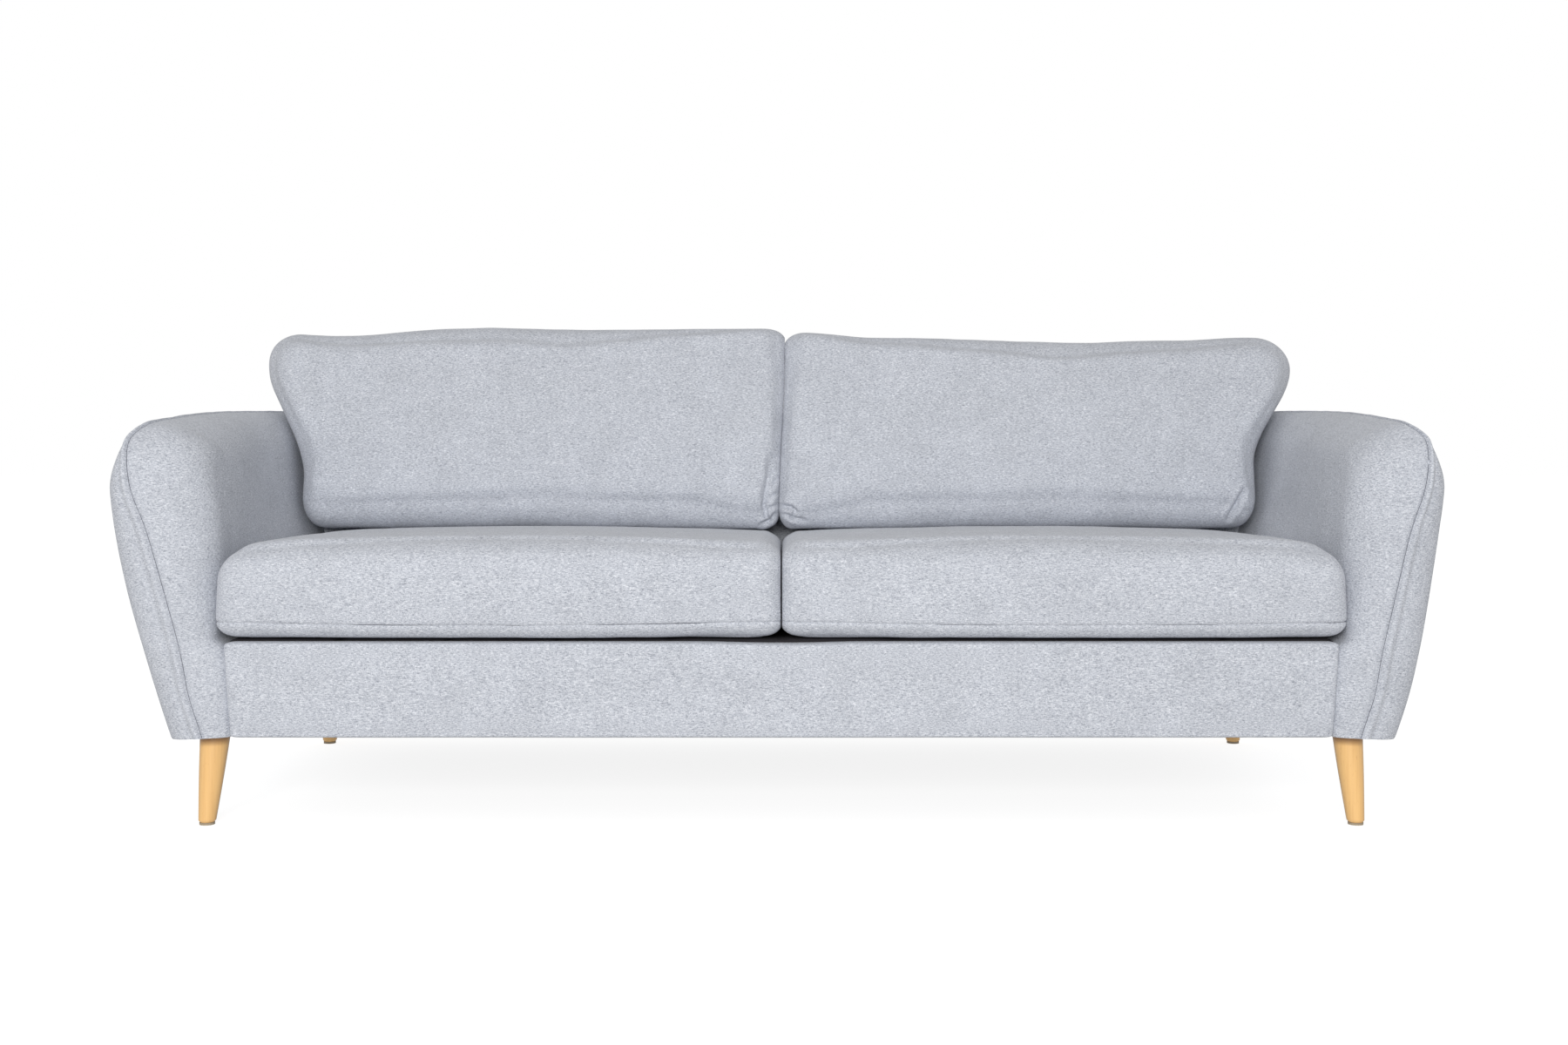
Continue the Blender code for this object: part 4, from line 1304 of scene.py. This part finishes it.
# Creases of each back cushion: ((x, z), ...) along the crease, its depth and its width
FOLDS = {
    "left": (
        (
            ((-0.020, 0.602), (-0.023, 0.560), (-0.032, 0.525), (-0.034, 0.500), (-0.024, 0.470)),
            0.0095,
            0.0075,
        ),
        (((-0.028, 0.540), (-0.034, 0.510), (-0.026, 0.480)), 0.0055, 0.0036),
        (((-0.006, 0.562), (-0.022, 0.546)), 0.0040, 0.0036),
        (((-0.008, 0.534), (-0.024, 0.524)), 0.0045, 0.0034),
        (((-0.010, 0.510), (-0.026, 0.503)), 0.0045, 0.0034),
        (((-0.012, 0.492), (-0.024, 0.478), (-0.040, 0.472)), 0.0060, 0.0040),
        (((-0.870, 0.560), (-0.885, 0.525), (-0.880, 0.495)), 0.0030, 0.0060),
    ),
    "right": (
        (((0.002, 0.508), (0.018, 0.505), (0.026, 0.498), (0.023, 0.488)), 0.0100, 0.0045),
        (((0.008, 0.492), (0.024, 0.484), (0.045, 0.480)), 0.0070, 0.0040),
        (((0.893, 0.540), (0.884, 0.520), (0.873, 0.498), (0.868, 0.484)), 0.0095, 0.0055),
        (((0.892, 0.528), (0.898, 0.512)), 0.0035, 0.0030),
    ),
}
BACK_HALF = 0.46  # half a back cushion's width, before it is fitted between the arm and the gap


BACK_CROWN = 0.016
BACK_TAPER = 0.16  # share of its thickness that a back cushion loses towards the top
BACK_OVERLAP = 0.0050  # how far its sewn form reaches past the gap line
BACK_FOOT = BACK_CUSHION_FOOT + 0.001


def back_block(name, side, cushions):
    """The sewn form of a back cushion, leaning on the padding: its faces and places at rest."""
    tall = cushions.top_left if name == "left" else cushions.top_right
    thick, cell, half = cushions.back_thick, cushions.cell, BACK_HALF
    cuts = spaced(-half, half, cell), spaced(0, tall, cell), spaced(0, thick, cell * 1.1)
    params, faces = block_grid(*cuts)
    low, high = np.array([-half, 0, 0]), np.array([half, tall, thick])
    outer = smooth(-0.9, 0.2, side * params[:, 0] / half)
    top_end = smooth(0.55, 0.95, params[:, 1] / tall)
    round_x = 0.024 + 0.016 * top_end + (0.018 + 0.002 * top_end) * outer
    radii_low = np.stack([round_x, 0 * outer + 0.064, 0 * outer + 0.070], 1)
    radii_high = np.stack([round_x, 0.028 + 0.032 * outer, 0.055 + 0.025 * outer], 1)
    points = round_block(params, low, high, radii_low, radii_high)
    u, up = points[:, 0] / half, points[:, 1] / tall
    front = points[:, 2] * (1 - BACK_TAPER * smooth(0.3, 1, up))
    crown = BACK_CROWN * (1 - u**2) * (1 - (2 * up - 1) ** 2)
    front = front + crown * smooth(0.4, 1, points[:, 2] / thick)
    rise = points[:, 1] - front * math.tan(BACK_LEAN) * (1 - up)
    z = BACK_FOOT + rise * math.cos(BACK_LEAN) + front * math.sin(BACK_LEAN)
    y = pad_y(BACK_FOOT) - 0.002 + rise * math.sin(BACK_LEAN) - front * math.cos(BACK_LEAN)
    near = side * gap_line(z) - BACK_OVERLAP
    far = outer_edge(name, up)
    across = (near + far) / 2 + side * u * (far - near) / 2
    z = z + top_wave(name, across) * smooth(0.55, 1, up)
    return faces, np.stack([side * across, y, z], 1)


def make_back_cushion(name, side, cushions):
    faces, world = back_block(name, side, cushions)
    obj = make_object(f"back_cushion_{name}", world, faces, MATERIALS["cloth"])
    inflate(obj, cushions.pressure, 0.014)
    world = places(obj.data)
    behind = world[:, 1] - (pad_y(world[:, 2]) - 0.001)
    world[:, 1] -= np.clip(behind, 0, None) * (world[:, 2] < ARM_TOP)
    world[:, 2] = np.maximum(world[:, 2], BACK_FOOT - 0.004)
    put_places(obj.data, settle_under_zip(world, zip_seat("back", name)))
    refine(obj, 2)
    soften_surface(obj, 0.0016, 80 + side)
    for path, deep, wide in FOLDS[name]:
        put_places(obj.data, press_in(places(obj.data), normals(obj.data), path, deep, wide))
    world = places(obj.data)
    limit = gap_line(world[:, 2]) + side * 0.0001
    world[:, 0] = np.where(side * (world[:, 0] - limit) < 0, limit, world[:, 0])
    put_places(obj.data, world)
    body = f"back_cushion_{name}"
    nodes = (f"back_cushion_cover_{name}", f"back_cushion_fill_{name}")
    finish_piece(obj, body, nodes)
    make_zip("back", name)


# ---------------------------------------------------------------- stage


FLOOR_HALF = 30.0
FLOOR_GLOW = 0.84
SOFT_BOX_AT, SOFT_BOX_AIM = (-0.5, -5.6, 1.75), Vector((0, 0, 0.45))
SOFT_BOX_SIZE = (2.4, 1.6)
CAMERA_DIP = 2.62  # degrees that the camera looks down
CAMERA_SHIFT = 0.0016667


def make_floor(stage):
    half = FLOOR_HALF
    mesh = bpy.data.meshes.new("floor")
    corners = [(-half, -half, 0), (half, -half, 0), (half, half, 0), (-half, half, 0)]
    mesh.from_pydata(corners, [], [[0, 1, 2, 3]])
    material = bpy.data.materials.new("Pale floor")
    material.use_nodes = True
    shader = material.node_tree.nodes["Principled BSDF"]
    shader.inputs["Base Color"].default_value = (*stage.floor, 1)
    shader.inputs["Roughness"].default_value = 0.9
    shader.inputs["Specular IOR Level"].default_value = 0.0
    shader.inputs["Emission Color"].default_value = (1, 1, 1, 1)
    shader.inputs["Emission Strength"].default_value = FLOOR_GLOW
    mesh.materials.append(material)
    floor = bpy.data.objects.new("floor", mesh)
    floor.visible_diffuse = floor.visible_glossy = False
    bpy.context.scene.collection.objects.link(floor)


def make_lights(stage):
    world = bpy.data.worlds.new("Studio")
    bpy.context.scene.world = world
    world.use_nodes = True
    tree = world.node_tree
    light_all_round = tree.nodes["Background"]
    light_all_round.inputs["Color"].default_value = (*stage.sky, 1)
    light_all_round.inputs["Strength"].default_value = stage.sky_strength
    backdrop = add_node(tree, "ShaderNodeBackground")
    backdrop.inputs["Color"].default_value = (1, 1, 1, 1)
    seen = add_node(tree, "ShaderNodeLightPath")
    either = add_node(tree, "ShaderNodeMixShader")
    tree.links.new(seen.outputs["Is Camera Ray"], either.inputs[0])
    tree.links.new(light_all_round.outputs[0], either.inputs[1])
    tree.links.new(backdrop.outputs[0], either.inputs[2])
    tree.links.new(either.outputs[0], tree.nodes["World Output"].inputs["Surface"])
    box = bpy.data.lights.new("Soft box", "AREA")
    box.shape = "RECTANGLE"
    box.size, box.size_y = SOFT_BOX_SIZE
    box.energy = stage.key_power
    light = bpy.data.objects.new("Soft box", box)
    light.location = SOFT_BOX_AT
    aim = SOFT_BOX_AIM - light.location
    light.rotation_euler = aim.to_track_quat("-Z", "Y").to_euler()
    bpy.context.scene.collection.objects.link(light)


def make_camera(stage):
    camera = bpy.data.cameras.new("Camera")
    camera.sensor_width = 36
    camera.lens = stage.lens
    camera.shift_x = CAMERA_SHIFT
    obj = bpy.data.objects.new("Camera", camera)
    obj.location = (0, FRONT - stage.eye_distance, stage.eye_height)
    obj.rotation_euler = (math.radians(90 - CAMERA_DIP), 0, 0)
    bpy.context.scene.collection.objects.link(obj)
    bpy.context.scene.camera = obj


# ---------------------------------------------------------------- operators


class SofaMaterials(bpy.types.Operator):
    """Make the sofa's finishes and give the frame's own nodes theirs"""

    bl_idname = "sofa.materials"
    bl_label = "Finishes"

    def execute(self, context):
        make_materials(context.scene)
        dress_frame()
        return {"FINISHED"}


class SofaStageSet(bpy.types.Operator):
    """Set up the camera, the lights and the floor"""

    bl_idname = "sofa.stage"
    bl_label = "Stage"

    def execute(self, context):
        stage = context.scene.sofa_stage
        make_camera(stage)
        make_lights(stage)
        make_floor(stage)
        context.scene.view_settings.view_transform = "Standard"
        return {"FINISHED"}


class SofaArmsBuild(bpy.types.Operator):
    """Upholster both arms"""

    bl_idname = "sofa.arms"
    bl_label = "Arms"

    def execute(self, context):
        for name, side in SIDES.items():
            make_arm(name, side, context.scene.sofa_arms)
        return {"FINISHED"}


class SofaBase(bpy.types.Operator):
    """Cover the base: apron, deck and dust cover"""

    bl_idname = "sofa.base"
    bl_label = "Base"

    def execute(self, context):
        make_apron()
        make_deck()
        make_dust_cover()
        return {"FINISHED"}


class SofaBack(bpy.types.Operator):
    """Cover the back: padding and rear panel"""

    bl_idname = "sofa.back"
    bl_label = "Back"

    def execute(self, context):
        make_back_padding()
        make_rear_panel()
        return {"FINISHED"}


class SofaLegs(bpy.types.Operator):
    """Turn the four legs"""

    bl_idname = "sofa.legs"
    bl_label = "Legs"

    def execute(self, context):
        for end in ENDS:
            for side in SIDES:
                make_leg(f"leg_{end}_{side}", context.scene.sofa_wood)
        return {"FINISHED"}


class SofaSeatCushions(bpy.types.Operator):
    """Fill the two seat cushions"""

    bl_idname = "sofa.seat_cushions"
    bl_label = "Seat cushions"

    def execute(self, context):
        for name, side in SIDES.items():
            make_seat_cushion(name, side, context.scene.sofa_cushions)
        return {"FINISHED"}


class SofaBackCushions(bpy.types.Operator):
    """Fill the two back cushions"""

    bl_idname = "sofa.back_cushions"
    bl_label = "Back cushions"

    def execute(self, context):
        for name, side in SIDES.items():
            make_back_cushion(name, side, context.scene.sofa_cushions)
        return {"FINISHED"}


STEPS = (
    SofaStageSet,
    SofaMaterials,
    SofaLegs,
    SofaBase,
    SofaBack,
    SofaArmsBuild,
    SofaSeatCushions,
    SofaBackCushions,
)


class SofaPanel(bpy.types.Panel):
    """Lists the sofa's groups of pieces and their settings"""

    bl_idname = "VIEW3D_PT_sofa"
    bl_label = "Sofa"
    bl_space_type = "VIEW_3D"
    bl_region_type = "UI"
    bl_category = "Sofa"

    def draw(self, context):
        for step in STEPS:
            self.layout.operator(step.bl_idname, text=step.bl_label)
        for name in SETTINGS:
            group = getattr(context.scene, name)
            column = self.layout.column(align=True)
            for label in group.__annotations__:
                column.prop(group, label)


CLASSES = (*SETTINGS.values(), *STEPS, SofaPanel)


def register():
    for cls in CLASSES:
        bpy.utils.register_class(cls)
    for name, group in SETTINGS.items():
        setattr(bpy.types.Scene, name, PointerProperty(type=group))


def unregister():
    for name in SETTINGS:
        delattr(bpy.types.Scene, name)
    for cls in reversed(CLASSES):
        bpy.utils.unregister_class(cls)


def main():
    register()
    for step in STEPS:
        group, call = step.bl_idname.split(".")
        getattr(getattr(bpy.ops, group), call)()


if __name__ == "__main__":
    main()
